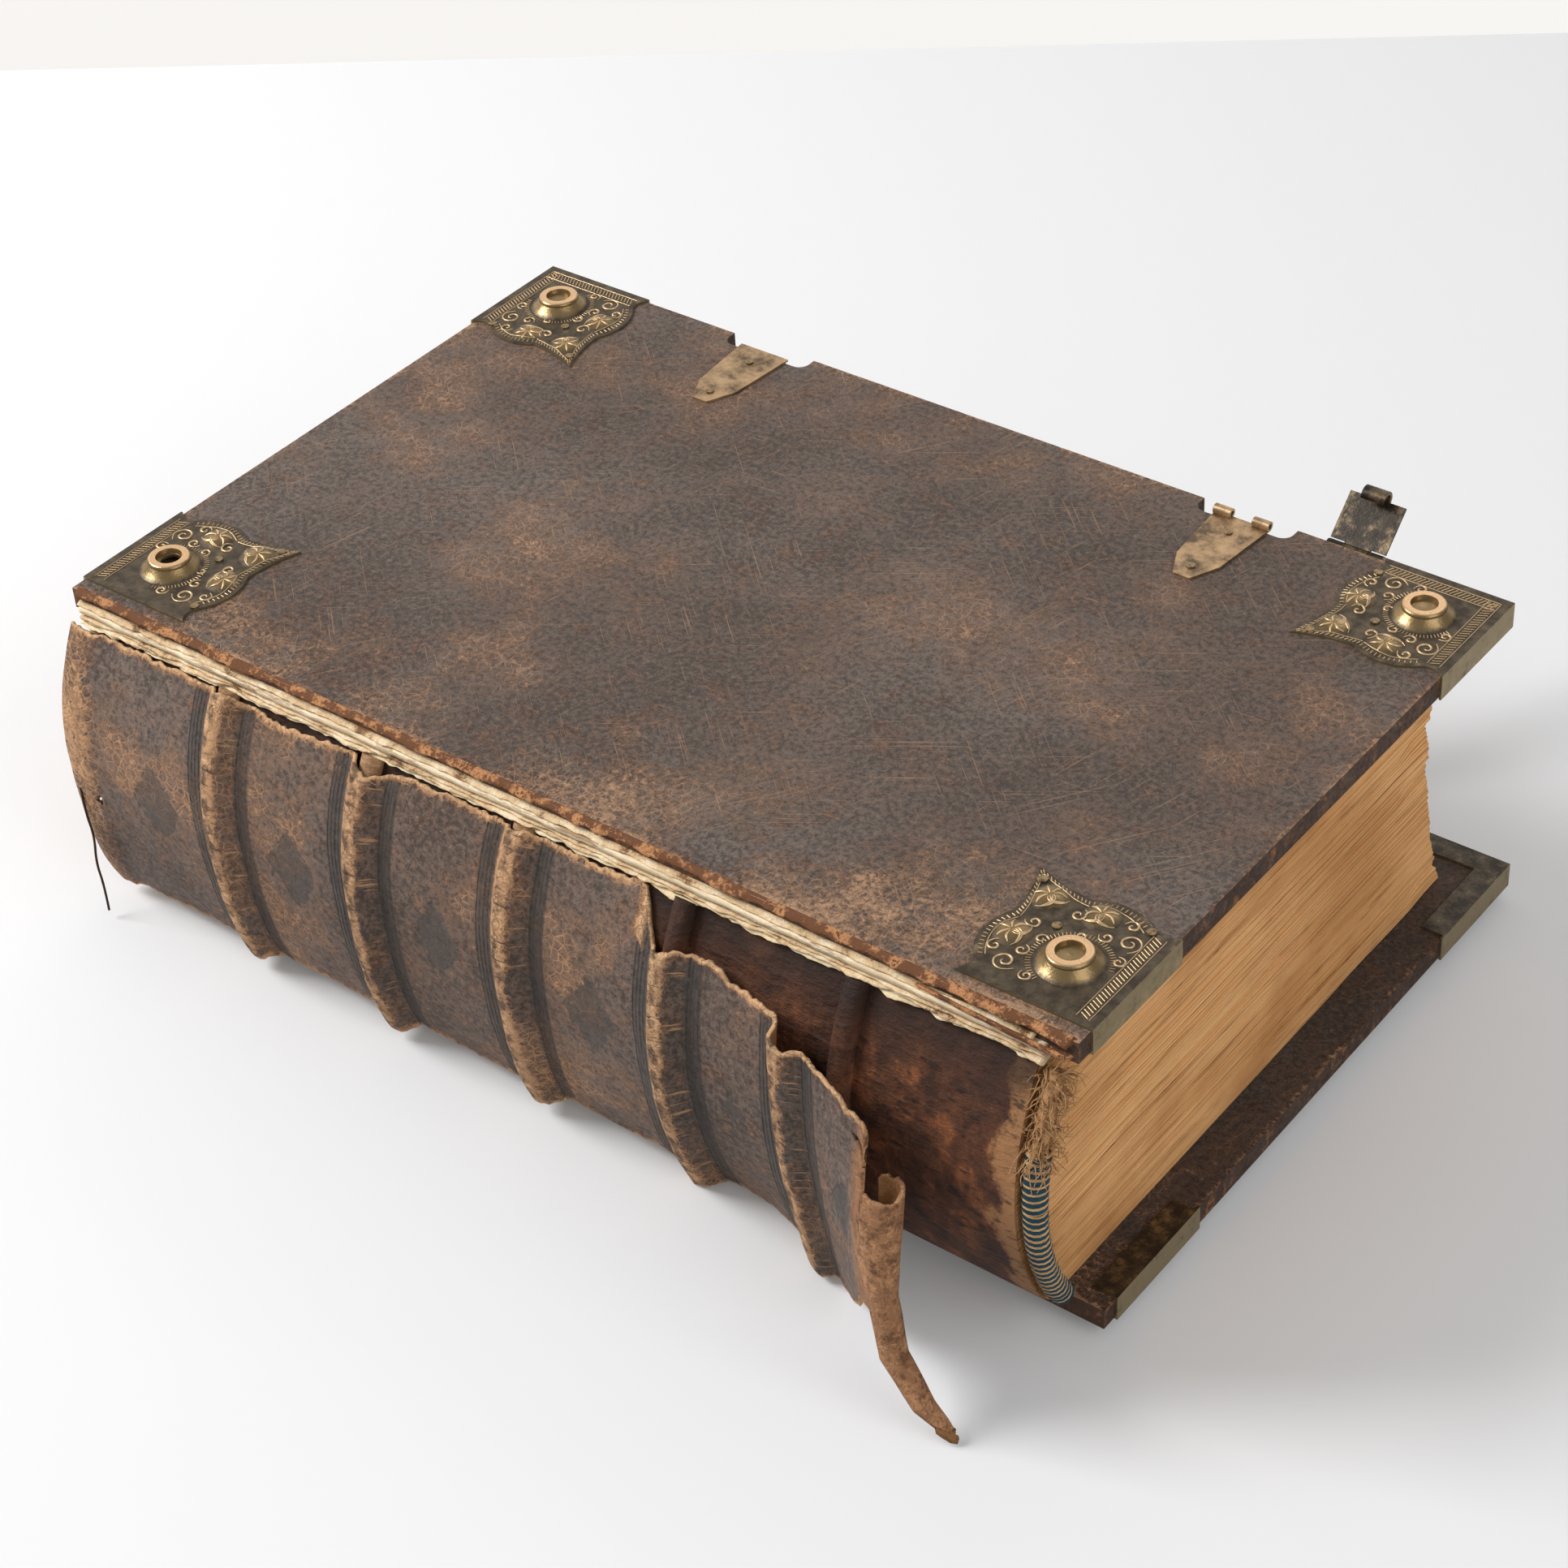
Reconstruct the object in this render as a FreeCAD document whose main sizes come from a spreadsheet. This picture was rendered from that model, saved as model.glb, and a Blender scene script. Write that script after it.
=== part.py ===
import FreeCAD, Part
import math
import os
import Sketcher

# Antique full-leather folio with wooden boards, brass corner fittings and clasps.
# X runs along the spine from head to tail, Y from the spine to the fore-edge, Z up.
# The book lies on its lower cover and stands on the four bosses of that cover.

os.makedirs("parts", exist_ok=True)
doc = FreeCAD.newDocument("leather_folio")
sheet = doc.addObject("Spreadsheet::Sheet", "Sizes")
V = FreeCAD.Vector
row = 0


def size(alias, value, note):
    """One driving dimension in millimetres, or in degrees where the note says so."""
    global row
    row += 1
    sheet.set("A%d" % row, note)
    sheet.set("B%d" % row, str(value))
    sheet.setAlias("B%d" % row, alias)


# Frame: where the middle of the whole part lies in the book's own measures.
origin_x = 1.5
origin_y = 134
size("origin_x", origin_x, "middle of the part along the spine")
size("origin_y", origin_y, "middle of the part across the book")

# Covers.
board_length = 400
board_width = 247.6
joint_y = -6
cover_thickness = 7.7
leather = 1.2
turnin = 0.6
turnin_width = 24
paper = 0.3
slip_x = 3
slip_y = 8.6
recess_depth = 7
recess_width = 36
recess_round = 4
clasp_tail_x = 104
clasp_head_x = -95.5
size("board_length", board_length, "height of the book along its spine")
size("board_width", board_width, "spine edge to fore-edge of a cover")
size("joint_y", joint_y, "spine edge of the upper cover")
size("cover_thickness", cover_thickness, "board with its leather")
size("leather", leather, "leather on the outer face of a cover")
size("turnin", turnin, "pared leather turned in over the inner face")
size("turnin_width", turnin_width, "width of the turned-in leather")
size("paper", paper, "thickness of a flyleaf or pastedown")
size("slip_x", slip_x, "lower cover moved towards the tail")
size("slip_y", slip_y, "lower cover moved towards the fore-edge")
size("recess_depth", recess_depth, "cut-out of a board edge at a clasp")
size("recess_width", recess_width, "width of that cut-out")
size("recess_round", recess_round, "rounding of that cut-out")
size("clasp_tail_x", clasp_tail_x, "middle of the tail clasp")
size("clasp_head_x", clasp_head_x, "middle of the head clasp")

# Text block, with the covers' squares past it on three sides.
head_square = 12.5
block_length = board_length - 2 * head_square
block_height = 103.6
spine_edge_y = -3
spine_radius = 89.2
fore_top_square = 20.6
fore_mid_square = 23.6
fore_low_square = 9.6
fore_top_y = joint_y + board_width - fore_top_square
fore_mid_y = joint_y + board_width - fore_mid_square
fore_low_y = joint_y + board_width - fore_low_square
lining = 0.8
lining_gap = 0.4
cord_radius = 4.0
cord_rise = 1.4
cord_pitch = 63.2
cord_reach = 32
endband_radius = 4.2
endband_sink = 3.4
core_radius = 2.6
strip_width = 5
strip_thick = 1.7
size("head_square", head_square, "cover past the leaves at head and tail")
size("block_length", block_length, "height of a leaf")
size("block_height", block_height, "thickness of the leaves between the flyleaves")
size("spine_edge_y", spine_edge_y, "back edge of the first and last leaf")
size("spine_radius", spine_radius, "rounding of the spine")
size("fore_top_square", fore_top_square, "cover past the first leaf at the fore-edge")
size("fore_mid_square", fore_mid_square, "cover past the middle leaves there")
size("fore_low_square", fore_low_square, "cover past the last leaf there")
size("fore_top_y", fore_top_y, "fore-edge of the first leaf")
size("fore_mid_y", fore_mid_y, "fore-edge of the middle leaves")
size("fore_low_y", fore_low_y, "fore-edge of the last leaf")
size("lining", lining, "thickness of the spine lining")
size("lining_gap", lining_gap, "play between the lining and the leather")
size("cord_radius", cord_radius, "raised sewing cord")
size("cord_rise", cord_rise, "middle of a cord beyond the back of the leaves")
size("cord_pitch", cord_pitch, "spacing of the sewing cords")
size("cord_reach", cord_reach, "degrees from the middle of the spine to a cord's end")
size("endband_radius", endband_radius, "endband")
size("endband_sink", endband_sink, "middle of an endband inside the back of the leaves")
size("core_radius", core_radius, "bare core of the tail endband")
size("strip_width", strip_width, "torn paper guard in the upper joint")
size("strip_thick", strip_thick, "two layers of that guard")

# Spine leather.
spine_leather = 1.3
band_height = 5.1
band_half = 6.5
leather_short = 3.5
leather_foot = 5.6
foot_slack = 9
tear_x = 48
head_cap = 20
size("spine_leather", spine_leather, "thickness of the spine leather")
size("band_height", band_height, "rise of the leather over a cord")
size("band_half", band_half, "half the foot width of a raised band")
size("head_cap", head_cap, "plain leather from the head to the first panel")
size("leather_short", leather_short, "torn upper edge of the spine leather below the leaves' top")
size("leather_foot", leather_foot, "lower edge of the spine leather")
size("foot_slack", foot_slack, "how far the leather stands off low on the spine")
size("tear_x", tear_x, "where the loose flap begins")

# Fittings.
fitting_side = 46
fitting_tip = 51
plate = 0.8
lip_width = 8
boss_inset = 20.2
boss_foot = 10.5
boss_rim = 6.4
boss_hollow = 4.5
boss_height = 4.5
dome_radius = 6.2
dome_height = 1.3
nail_head = 1.5
nail_shank = 0.8
nail_rise = 0.6
nail_length = 4.5
size("fitting_side", fitting_side, "side of a corner fitting")
size("fitting_tip", fitting_tip, "reach of its inner tip along both sides")
size("plate", plate, "thickness of the brass plate")
size("lip_width", lip_width, "flange turned on to the inner face")
size("boss_inset", boss_inset, "boss to the edges of the leather")
size("boss_foot", boss_foot, "radius of a boss at its foot")
size("boss_rim", boss_rim, "radius of a boss at its worn rim")
size("boss_hollow", boss_hollow, "radius of the dish in a boss")
size("boss_height", boss_height, "rise of a boss above its plate")
size("dome_radius", dome_radius, "embossed dome")
size("dome_height", dome_height, "rise of a dome above its plate")
size("nail_head", nail_head, "radius of a nail head")
size("nail_shank", nail_shank, "radius of a nail shank")
size("nail_rise", nail_rise, "rise of a nail head")
size("nail_length", nail_length, "shank of a nail in the board")

# Clasps.
catch_length = 38
catch_width = 21
catch_reach = 1.6
roll_radius = 1.8
clasp_width = 22
strap_length = 87.5
strap_plate = 1.4
hook_length = 21
hook_plate = 1.2
hook_tab = 9
hook_curl = 3.4
knuckle = 2.5
pin_radius = 1.0
pin_play = 0.05
knuckle_gap = 0.3
hinge_out = 4.2
strap_angle = 45
hook_angle = -2
anchor_length = 30
size("catch_length", catch_length, "catch plate")
size("catch_width", catch_width, "catch plate at the fore-edge")
size("catch_reach", catch_reach, "catch plate beyond the recessed edge")
size("roll_radius", roll_radius, "rolled lip of the catch")
size("clasp_width", clasp_width, "clasp strap and hook plate")
size("strap_length", strap_length, "hinge to hinge of the clasp strap")
size("strap_plate", strap_plate, "thickness of the clasp strap")
size("hook_length", hook_length, "hook plate from its hinge")
size("hook_plate", hook_plate, "thickness of the hook plate")
size("hook_tab", hook_tab, "width of the curled hook")
size("hook_curl", hook_curl, "outer radius of the curled hook")
size("knuckle", knuckle, "outer radius of a hinge knuckle")
size("pin_radius", pin_radius, "hinge pin")
size("pin_play", pin_play, "radial clearance of a turning knuckle")
size("knuckle_gap", knuckle_gap, "end play between knuckles")
size("hinge_out", hinge_out, "hinge pin to the recessed edge of the lower cover")
size("strap_angle", strap_angle, "degrees by which the clasp stands up from the table")
size("hook_angle", hook_angle, "degrees by which the hook plate leans from the line of the strap")
size("anchor_length", anchor_length, "anchor plate under the lower cover")
doc.recompute()


def v(alias):
    """Value of a size as a number."""
    return float(sheet.get(alias))


S = "Sizes."
parts = []
foot = "(%sboss_height + %splate)" % (S, S)
lower_in = "(%s + %scover_thickness)" % (foot, S)
block_low = "(%s + %spaper)" % (lower_in, S)
upper_in = "(%s + %sblock_height + %spaper)" % (block_low, S, S)
upper_out = "(%s + %scover_thickness)" % (upper_in, S)
z_foot = v("boss_height") + v("plate")
z_lower_in = z_foot + v("cover_thickness")
z_block = z_lower_in + v("paper")
z_upper_in = z_block + v("block_height") + v("paper")
z_upper_out = z_upper_in + v("cover_thickness")
mid_z = z_block + v("block_height") / 2
mid = "(%s + %sblock_height / 2)" % (block_low, S)
axis_y = v("spine_edge_y") + math.sqrt(v("spine_radius") ** 2 - (v("block_height") / 2) ** 2)
axis = "(%sspine_edge_y + sqrt(%sspine_radius ^ 2 - (%sblock_height / 2) ^ 2))" % (S, S, S)


def bind(obj, **expressions):
    for name, text in expressions.items():
        obj.setExpression(name.replace("_", "."), text)
    return obj


def box(name, x, y, z, length, width, height):
    obj = doc.addObject("Part::Box", name)
    bind(obj, Length=length, Width=width, Height=height)
    bind(obj, Placement_Base_x=x, Placement_Base_y=y, Placement_Base_z=z)
    return obj


def rod(name, direction, x, y, z, radius, height):
    """Cylinder from x, y, z along X or Z."""
    obj = doc.addObject("Part::Cylinder", name)
    if direction == "X":
        obj.Placement = FreeCAD.Placement(V(0, 0, 0), FreeCAD.Rotation(V(0, 1, 0), 90))
    bind(obj, Radius=radius, Height=height)
    bind(obj, Placement_Base_x=x, Placement_Base_y=y, Placement_Base_z=z)
    return obj


def cut(name, base, tool):
    obj = doc.addObject("Part::Cut", name)
    obj.Base = base
    obj.Tool = tool
    return obj


def fuse(name, pieces):
    if len(pieces) == 1:
        return pieces[0]
    obj = doc.addObject("Part::MultiFuse", name)
    obj.Shapes = pieces
    return obj


def group(name, pieces):
    obj = doc.addObject("Part::Compound", name)
    obj.Links = pieces
    return obj


def keep(obj, label, x="0", y="0", z="0"):
    """Sub-part: its label names the node, and it moves to the part's own origin."""
    obj.Label = label
    bind(obj, Placement_Base_x="%s - %sorigin_x" % (x, S))
    bind(obj, Placement_Base_y="%s - %sorigin_y" % (y, S))
    bind(obj, Placement_Base_z=z)
    parts.append(obj)
    return obj


def feature(label, shape):
    """Sub-part whose free form is worked out from the sizes."""
    obj = doc.addObject("Part::Feature", label)
    obj.Shape = shape
    return keep(obj, label)


def plane(body, role):
    for item in body.Origin.OriginFeatures:
        if item.Role == role:
            return item


def sketch(body, name, role, edges):
    obj = body.newObject("Sketcher::SketchObject", name)
    obj.AttachmentSupport = [(plane(body, role), "")]
    obj.MapMode = "FlatFace"
    for edge in edges:
        if len(edge) == 2:
            obj.addGeometry(Part.LineSegment(V(*edge[0]), V(*edge[1])), False)
        else:
            arc = Part.Arc(V(*edge[0]), V(*edge[1]), V(*edge[2]))
            obj.addGeometry(arc, False)
    return obj


def pad(name, role, edges, length):
    body = doc.addObject("PartDesign::Body", name)
    outline = sketch(body, name + "_outline", role, edges)
    obj = body.newObject("PartDesign::Pad", name + "_pad")
    obj.Profile = outline
    obj.setExpression("Length", length)
    doc.recompute()
    return body


def ring(name, x, major, minor, start, sweep):
    """Piece of a ring about the rounding axis of the spine; angles from the back, upwards."""
    obj = doc.addObject("Part::Torus", name)
    turn = math.radians(start)
    low = V(0, -math.cos(turn), math.sin(turn))
    obj.Placement = FreeCAD.Placement(V(0, 0, 0), FreeCAD.Rotation(low, V(0, 0, 0), V(-1, 0, 0), "ZXY"))
    bind(obj, Radius1=major, Radius2=minor, Angle3=sweep)
    bind(obj, Placement_Base_x=x, Placement_Base_y=axis, Placement_Base_z=mid)
    return obj


# Covers: oak boards in one skin of leather, with a cut-out at each clasp.
def recess_tool(name, edge_y, centre_x, z, grow):
    tool = box(name, "%s - %srecess_width / 2 - %s" % (centre_x, S, grow),
               "%s - %srecess_depth - %s" % (edge_y, S, grow), "%s - 2" % z,
               "%srecess_width + 2 * %s" % (S, grow),
               "2 * %srecess_depth + 2 * %s" % (S, grow), "%scover_thickness + 4" % S)
    doc.recompute()
    rounded = doc.addObject("Part::Fillet", name + "_rounded")
    rounded.Base = tool
    upright = []
    for number, edge in enumerate(tool.Shape.Edges, 1):
        ends = edge.Vertexes
        if abs(ends[0].Z - ends[1].Z) > 1:
            upright.append((number, v("recess_round"), v("recess_round")))
    rounded.Edges = upright
    return rounded


def cover(side, x, y, low, outer_up, nails):
    """Board, leather and pastedown of one cover; low is its lower face."""
    half = "%sboard_length / 2" % S
    outer = box(side + "_skin", "%s - %s" % (x, half), y, low,
                S + "board_length", S + "board_width", S + "cover_thickness")
    board_z = "%s + %s%s" % (low, S, "turnin" if outer_up else "leather")
    thick = "%scover_thickness - %sleather - %sturnin" % (S, S, S)
    core = box(side + "_core", "%s - %s + %sleather" % (x, half, S), "%s + %sleather" % (y, S), board_z,
               "%sboard_length - 2 * %sleather" % (S, S), "%sboard_width - 2 * %sleather" % (S, S), thick)
    edge = "(%s + %sboard_width)" % (y, S)
    skin_tools = []
    core_tools = []
    for place in ("tail", "head"):
        centre = "(%s + %sclasp_%s_x)" % (x, S, place)
        skin_tools.append(recess_tool("%s_recess_%s" % (side, place), edge, centre, low, "0"))
        core_tools.append(recess_tool("%s_seat_%s" % (side, place), edge, centre, low, S + "leather"))
    core = cut(side + "_core_cut", core, fuse(side + "_seats", core_tools))
    window_z = "%s - 1" % low if outer_up else "%s + %scover_thickness - %sturnin" % (low, S, S)
    window = box(side + "_window", "%s - %s + %sturnin_width" % (x, half, S), "%s + %sturnin_width" % (y, S),
                 window_z, "%sboard_length - 2 * %sturnin_width" % (S, S),
                 "%sboard_width - 2 * %sturnin_width" % (S, S), "1 + %sturnin" % S)
    skin = cut(side + "_skin_cut", outer, fuse(side + "_hollow", skin_tools + [core, window]))
    paper_z = ("%s + %sturnin - %spaper" % (low, S, S)) if outer_up else board_z + " + " + thick
    sheet_of_paper = box(side + "_sheet", "%s - %s + %sturnin_width" % (x, half, S),
                         "%s + %sturnin_width" % (y, S), paper_z,
                         "%sboard_length - 2 * %sturnin_width" % (S, S),
                         "%sboard_width - 2 * %sturnin_width" % (S, S), S + "paper")
    keep(cut(side + "_wood", core, nails), side + "_board")
    keep(cut(side + "_hide", skin, nails), side + "_board_leather")
    keep(sheet_of_paper, side + "_pastedown", "%s - %s + %sturnin_width" % (x, half, S),
         "%s + %sturnin_width" % (y, S), paper_z)


def nail(name, x, y, z, up):
    """Round-headed nail; z is the face that its head lies on."""
    head_z = z if up else "%s - %snail_rise" % (z, S)
    shank_z = "%s - %snail_length" % (z, S) if up else "%s - 0.1" % z
    head = rod(name + "_head", "Z", x, y, head_z, S + "nail_head", S + "nail_rise")
    shank = rod(name + "_shank", "Z", x, y, shank_z, S + "nail_shank", "%snail_length + 0.1" % S)
    return fuse(name, [head, shank])


# Corner fittings: scalloped brass plates with a boss and three domes, folded over the edges.
side = v("fitting_side")
tip = v("fitting_tip")
ogee = side - 2
lobe = side + 3.4
cusp = side * 0.65
neck = side * 0.17
corner = (0, 0, 0)
outline = [
    (corner, (0, side, 0)),
    ((0, side, 0), (neck * 0.45, ogee, 0), (neck, side - 1, 0)),
    ((neck, side - 1, 0), (side * 0.41, lobe, 0), (cusp, side + 0.5, 0)),
    ((cusp, side + 0.5, 0), (side * 0.86, side + 1.4, 0), (tip, tip, 0)),
    ((tip, tip, 0), (side + 1.4, side * 0.86, 0), (side + 0.5, cusp, 0)),
    ((side + 0.5, cusp, 0), (lobe, side * 0.41, 0), (side - 1, neck, 0)),
    ((side - 1, neck, 0), (ogee, neck * 0.45, 0), (side, 0, 0)),
    ((side, 0, 0), corner),
]
nail_places = [("tip", 46, 46.8), ("mid", 31, 32), ("side", 43.5, 8)]
dome_places = [("long", 41.5, 23.5), ("tall", 22, 41), ("tip", 40.6, 40.6)]


def boss(name):
    """Turned boss, hollow below, with a worn rim round a shallow dish."""
    t0 = v("plate")
    top = t0 + v("boss_height")
    r0 = v("boss_foot")
    rim = v("boss_rim")
    dish = v("boss_hollow")
    neck_r = (r0 + rim) / 2 + 0.6
    edges = [
        ((r0, 0, 0), (r0, t0, 0)),
        ((r0, t0, 0), (neck_r, t0 + 1.2, 0), (rim + 0.9, top - 1.4, 0)),
        ((rim + 0.9, top - 1.4, 0), (rim + 0.6, top - 0.3, 0), (rim - 0.4, top, 0)),
        ((rim - 0.4, top, 0), (dish, top, 0)),
        ((dish, top, 0), (dish - 0.5, top - 1.6, 0)),
        ((dish - 0.5, top - 1.6, 0), (0, top - 1.9, 0)),
        ((0, top - 1.9, 0), (0, top - 2.7, 0)),
        ((0, top - 2.7, 0), (rim - 1.0, top - 2.6, 0)),
        ((rim - 1.0, top - 2.6, 0), (r0 - 1.4, 0, 0)),
        ((r0 - 1.4, 0, 0), (r0, 0, 0)),
    ]
    body = doc.addObject("PartDesign::Body", name)
    profile = sketch(body, name + "_profile", "XZ_Plane", edges)
    obj = body.newObject("PartDesign::Revolution", name + "_turned")
    obj.Profile = profile
    obj.ReferenceAxis = (profile, ["V_Axis"])
    obj.Angle = 360
    doc.recompute()
    bind(body, Placement_Base_x=S + "boss_inset", Placement_Base_y=S + "boss_inset")
    return body


def fitting(label, x, y, z, turn, over, nails, sides, worn):
    """Fitting with its corner at x, y and its plate on the face at z."""
    plate = pad(label + "_sheet", "XY_Plane", outline, S + "plate")
    hole = rod(label + "_hole", "Z", S + "boss_inset", S + "boss_inset", "-1", S + "boss_foot", "4")
    pieces = [cut(label + "_pierced", plate, hole), boss(label + "_boss")]
    for name, u, w in dome_places:
        r = v("dome_radius")
        rise = v("dome_height")
        ball = (r * r + rise * rise) / (2 * rise)
        dome = doc.addObject("Part::Sphere", "%s_dome_%s" % (label, name))
        dome.Angle1 = math.degrees(math.asin((ball - rise) / ball))
        ball_size = "(%sdome_radius ^ 2 + %sdome_height ^ 2) / (2 * %sdome_height)" % (S, S, S)
        bind(dome, Radius=ball_size, Placement_Base_x=str(u), Placement_Base_y=str(w),
             Placement_Base_z="%splate + %sdome_height - %s" % (S, S, ball_size))
        pieces.append(dome)
    for name in sides:
        drop = "%scover_thickness + 2 * %splate" % (S, S)
        low = "-(%scover_thickness + %splate)" % (S, S)
        long_side = S + "fitting_side"
        if name == "u":
            pieces.append(box(label + "_flange_u", "0", "-" + S + "plate", low, long_side, S + "plate", drop))
            pieces.append(box(label + "_lip_u", "0", "0", low, "%sfitting_side - 2" % S, S + "lip_width", S + "plate"))
        else:
            pieces.append(box(label + "_flange_w", "-" + S + "plate", "0", low, S + "plate", long_side, drop))
            pieces.append(box(label + "_lip_w", "0", "0", low, S + "lip_width", "%sfitting_side - 2" % S, S + "plate"))
    if len(sides) == 2:
        pieces.append(box(label + "_post", "-" + S + "plate", "-" + S + "plate",
                          "-(%scover_thickness + %splate)" % (S, S), S + "plate", S + "plate",
                          "%scover_thickness + 2 * %splate" % (S, S)))
    whole = fuse(label + "_whole", pieces)
    if worn:
        wear = rod(label + "_wear", "Z", "%sboss_inset + 0.8" % S, S + "boss_inset",
                   "%splate + 0.8" % S, "%sboss_hollow - 0.9" % S, S + "boss_height")
        whole = cut(label + "_worn", whole, wear)
    rotation = FreeCAD.Rotation(V(0, 0, 1), turn)
    if over:
        rotation = rotation.multiply(FreeCAD.Rotation(V(1, 1, 0), 180))
    whole.Placement = FreeCAD.Placement(V(0, 0, 0), rotation)
    bind(whole, Placement_Base_x=x, Placement_Base_y=y, Placement_Base_z=z)
    keep(cut(label + "_nailed", whole, nails), label)


def fitting_nails(name, x, y, z, turn, over):
    made = []
    angle = math.radians(turn)
    for place, u, w in nail_places:
        if over:
            u, w = w, u
        dx = u * math.cos(angle) - w * math.sin(angle)
        dy = u * math.sin(angle) + w * math.cos(angle)
        face = "%s + %splate" % (z, S) if not over else "%s - %splate" % (z, S)
        made.append(nail("%s_%s" % (name, place), "%s + (%.4f)" % (x, dx), "%s + (%.4f)" % (y, dy), face, not over))
    return made


half_x = "%sboard_length / 2" % S
corners = {
    "head_spine": ("-" + half_x, "%sjoint_y + 6" % S, 0, False),
    "tail_spine": (half_x, "%sjoint_y + 6" % S, 90, True),
    "tail_fore": (half_x, "%sjoint_y + %sboard_width" % (S, S), 180, False),
    "head_fore": ("-" + half_x, "%sjoint_y + %sboard_width" % (S, S), 270, True),
}
covers = {
    "upper": ("0", "0", upper_out, False),
    "lower": (S + "slip_x", S + "slip_y", foot, True),
}
nails = {}
for name, (dx, dy, z, over) in covers.items():
    made = []
    for place, (x, y, turn, swap) in corners.items():
        made += fitting_nails("%s_nail_%s" % (name, place), "%s + %s" % (x, dx), "%s + %s" % (y, dy), z, turn, over)
    nails[name] = made

# Catch plates on the upper cover, at the two cut-outs of its fore-edge.
recess_y = "(%sjoint_y + %sboard_width - %srecess_depth)" % (S, S, S)
catch_nails = []
wide = v("catch_width") / 2
long_ = v("catch_length")
catch_outline = [
    ((-wide, 0, 0), (wide, 0, 0)),
    ((wide, 0, 0), (wide * 0.78, -long_ * 0.72, 0)),
    ((wide * 0.78, -long_ * 0.72, 0), (wide * 0.3, -long_, 0)),
    ((wide * 0.3, -long_, 0), (-wide * 0.3, -long_, 0)),
    ((-wide * 0.3, -long_, 0), (-wide * 0.78, -long_ * 0.72, 0)),
    ((-wide * 0.78, -long_ * 0.72, 0), (-wide, 0, 0)),
]
catch_y = "(%s + %scatch_reach)" % (recess_y, S)
for place in ("tail", "head"):
    centre = "%sclasp_%s_x" % (S, place)
    catch_nails.append(nail("catch_nail_%s_out" % place, centre, "%s - 9" % catch_y,
                            "%s + %splate" % (upper_out, S), True))
    catch_nails.append(nail("catch_nail_%s_in" % place, centre, "%s - %scatch_length + 6" % (catch_y, S),
                            "%s + %splate" % (upper_out, S), True))

upper_nails = group("upper_nail_group", nails["upper"])
catch_group = group("catch_nail_group", catch_nails)
upper_all = group("upper_all_nails", nails["upper"] + catch_nails)

# Anchors of the two clasps: a plate nailed under the lower cover, turned up at its edge.
lower_edge = "(%sjoint_y + %sboard_width + %sslip_y - %srecess_depth)" % (S, S, S, S)
anchor_nails = []
for place in ("tail", "head"):
    centre = "(%sclasp_%s_x + %sslip_x)" % (S, place, S)
    for step in ("8", "22"):
        anchor_nails.append(nail("anchor_nail_%s_%s" % (place, step), centre, "%s - %s" % (lower_edge, step),
                                 "%s - %splate" % (foot, S), False))
lower_all = group("lower_all_nails", nails["lower"] + anchor_nails)
anchor_group = group("anchor_nail_group", anchor_nails)
lower_nails = group("lower_nail_group", nails["lower"])

cover("upper", "0", S + "joint_y", upper_in, True, upper_all)
cover("lower", S + "slip_x", "%sjoint_y + %sslip_y" % (S, S), foot, False, lower_all)
for name, (dx, dy, z, over) in covers.items():
    for place, (x, y, turn, swap) in corners.items():
        sides = "uw" if place.endswith("fore") else "uw"[(place == "head_spine") != over]
        worn = name == "upper" and place == "head_spine"
        tool = upper_all if name == "upper" else lower_all
        fitting("%s_fitting_%s" % (name, place), "%s + %s" % (x, dx), "%s + %s" % (y, dy), z,
                turn, over, tool, sides, worn)
keep(upper_nails, "upper_fitting_nails")
keep(lower_nails, "lower_fitting_nails")

for place in ("tail", "head"):
    label = "catch_plate_" + place
    centre = "%sclasp_%s_x" % (S, place)
    base = pad(label + "_sheet", "XY_Plane", catch_outline, S + "plate")
    bind(base, Placement_Base_x=centre, Placement_Base_y=catch_y, Placement_Base_z=upper_out)
    pieces = [base]
    ears = ((-1, 0.62), (0.42, 0.58)) if place == "tail" else ()
    for number, (start, wide_part) in enumerate(ears):
        begin = "%s + %s * %scatch_width / 2" % (centre, start, S)
        length = "%s * %scatch_width / 2" % (wide_part, S)
        z = "%s + %splate + %sroll_radius - 0.8" % (upper_out, S, S)
        outer = rod("%s_ear_%d" % (label, number), "X", begin, catch_y, z, S + "roll_radius", length)
        inner = rod("%s_bore_%d" % (label, number), "X", begin, catch_y, z, "%sroll_radius - 0.8" % S, length)
        pieces.append(cut("%s_roll_%d" % (label, number), outer, inner))
    keep(cut(label + "_nailed", fuse(label + "_whole", pieces), upper_all), label)
keep(catch_group, "catch_nails")

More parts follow.
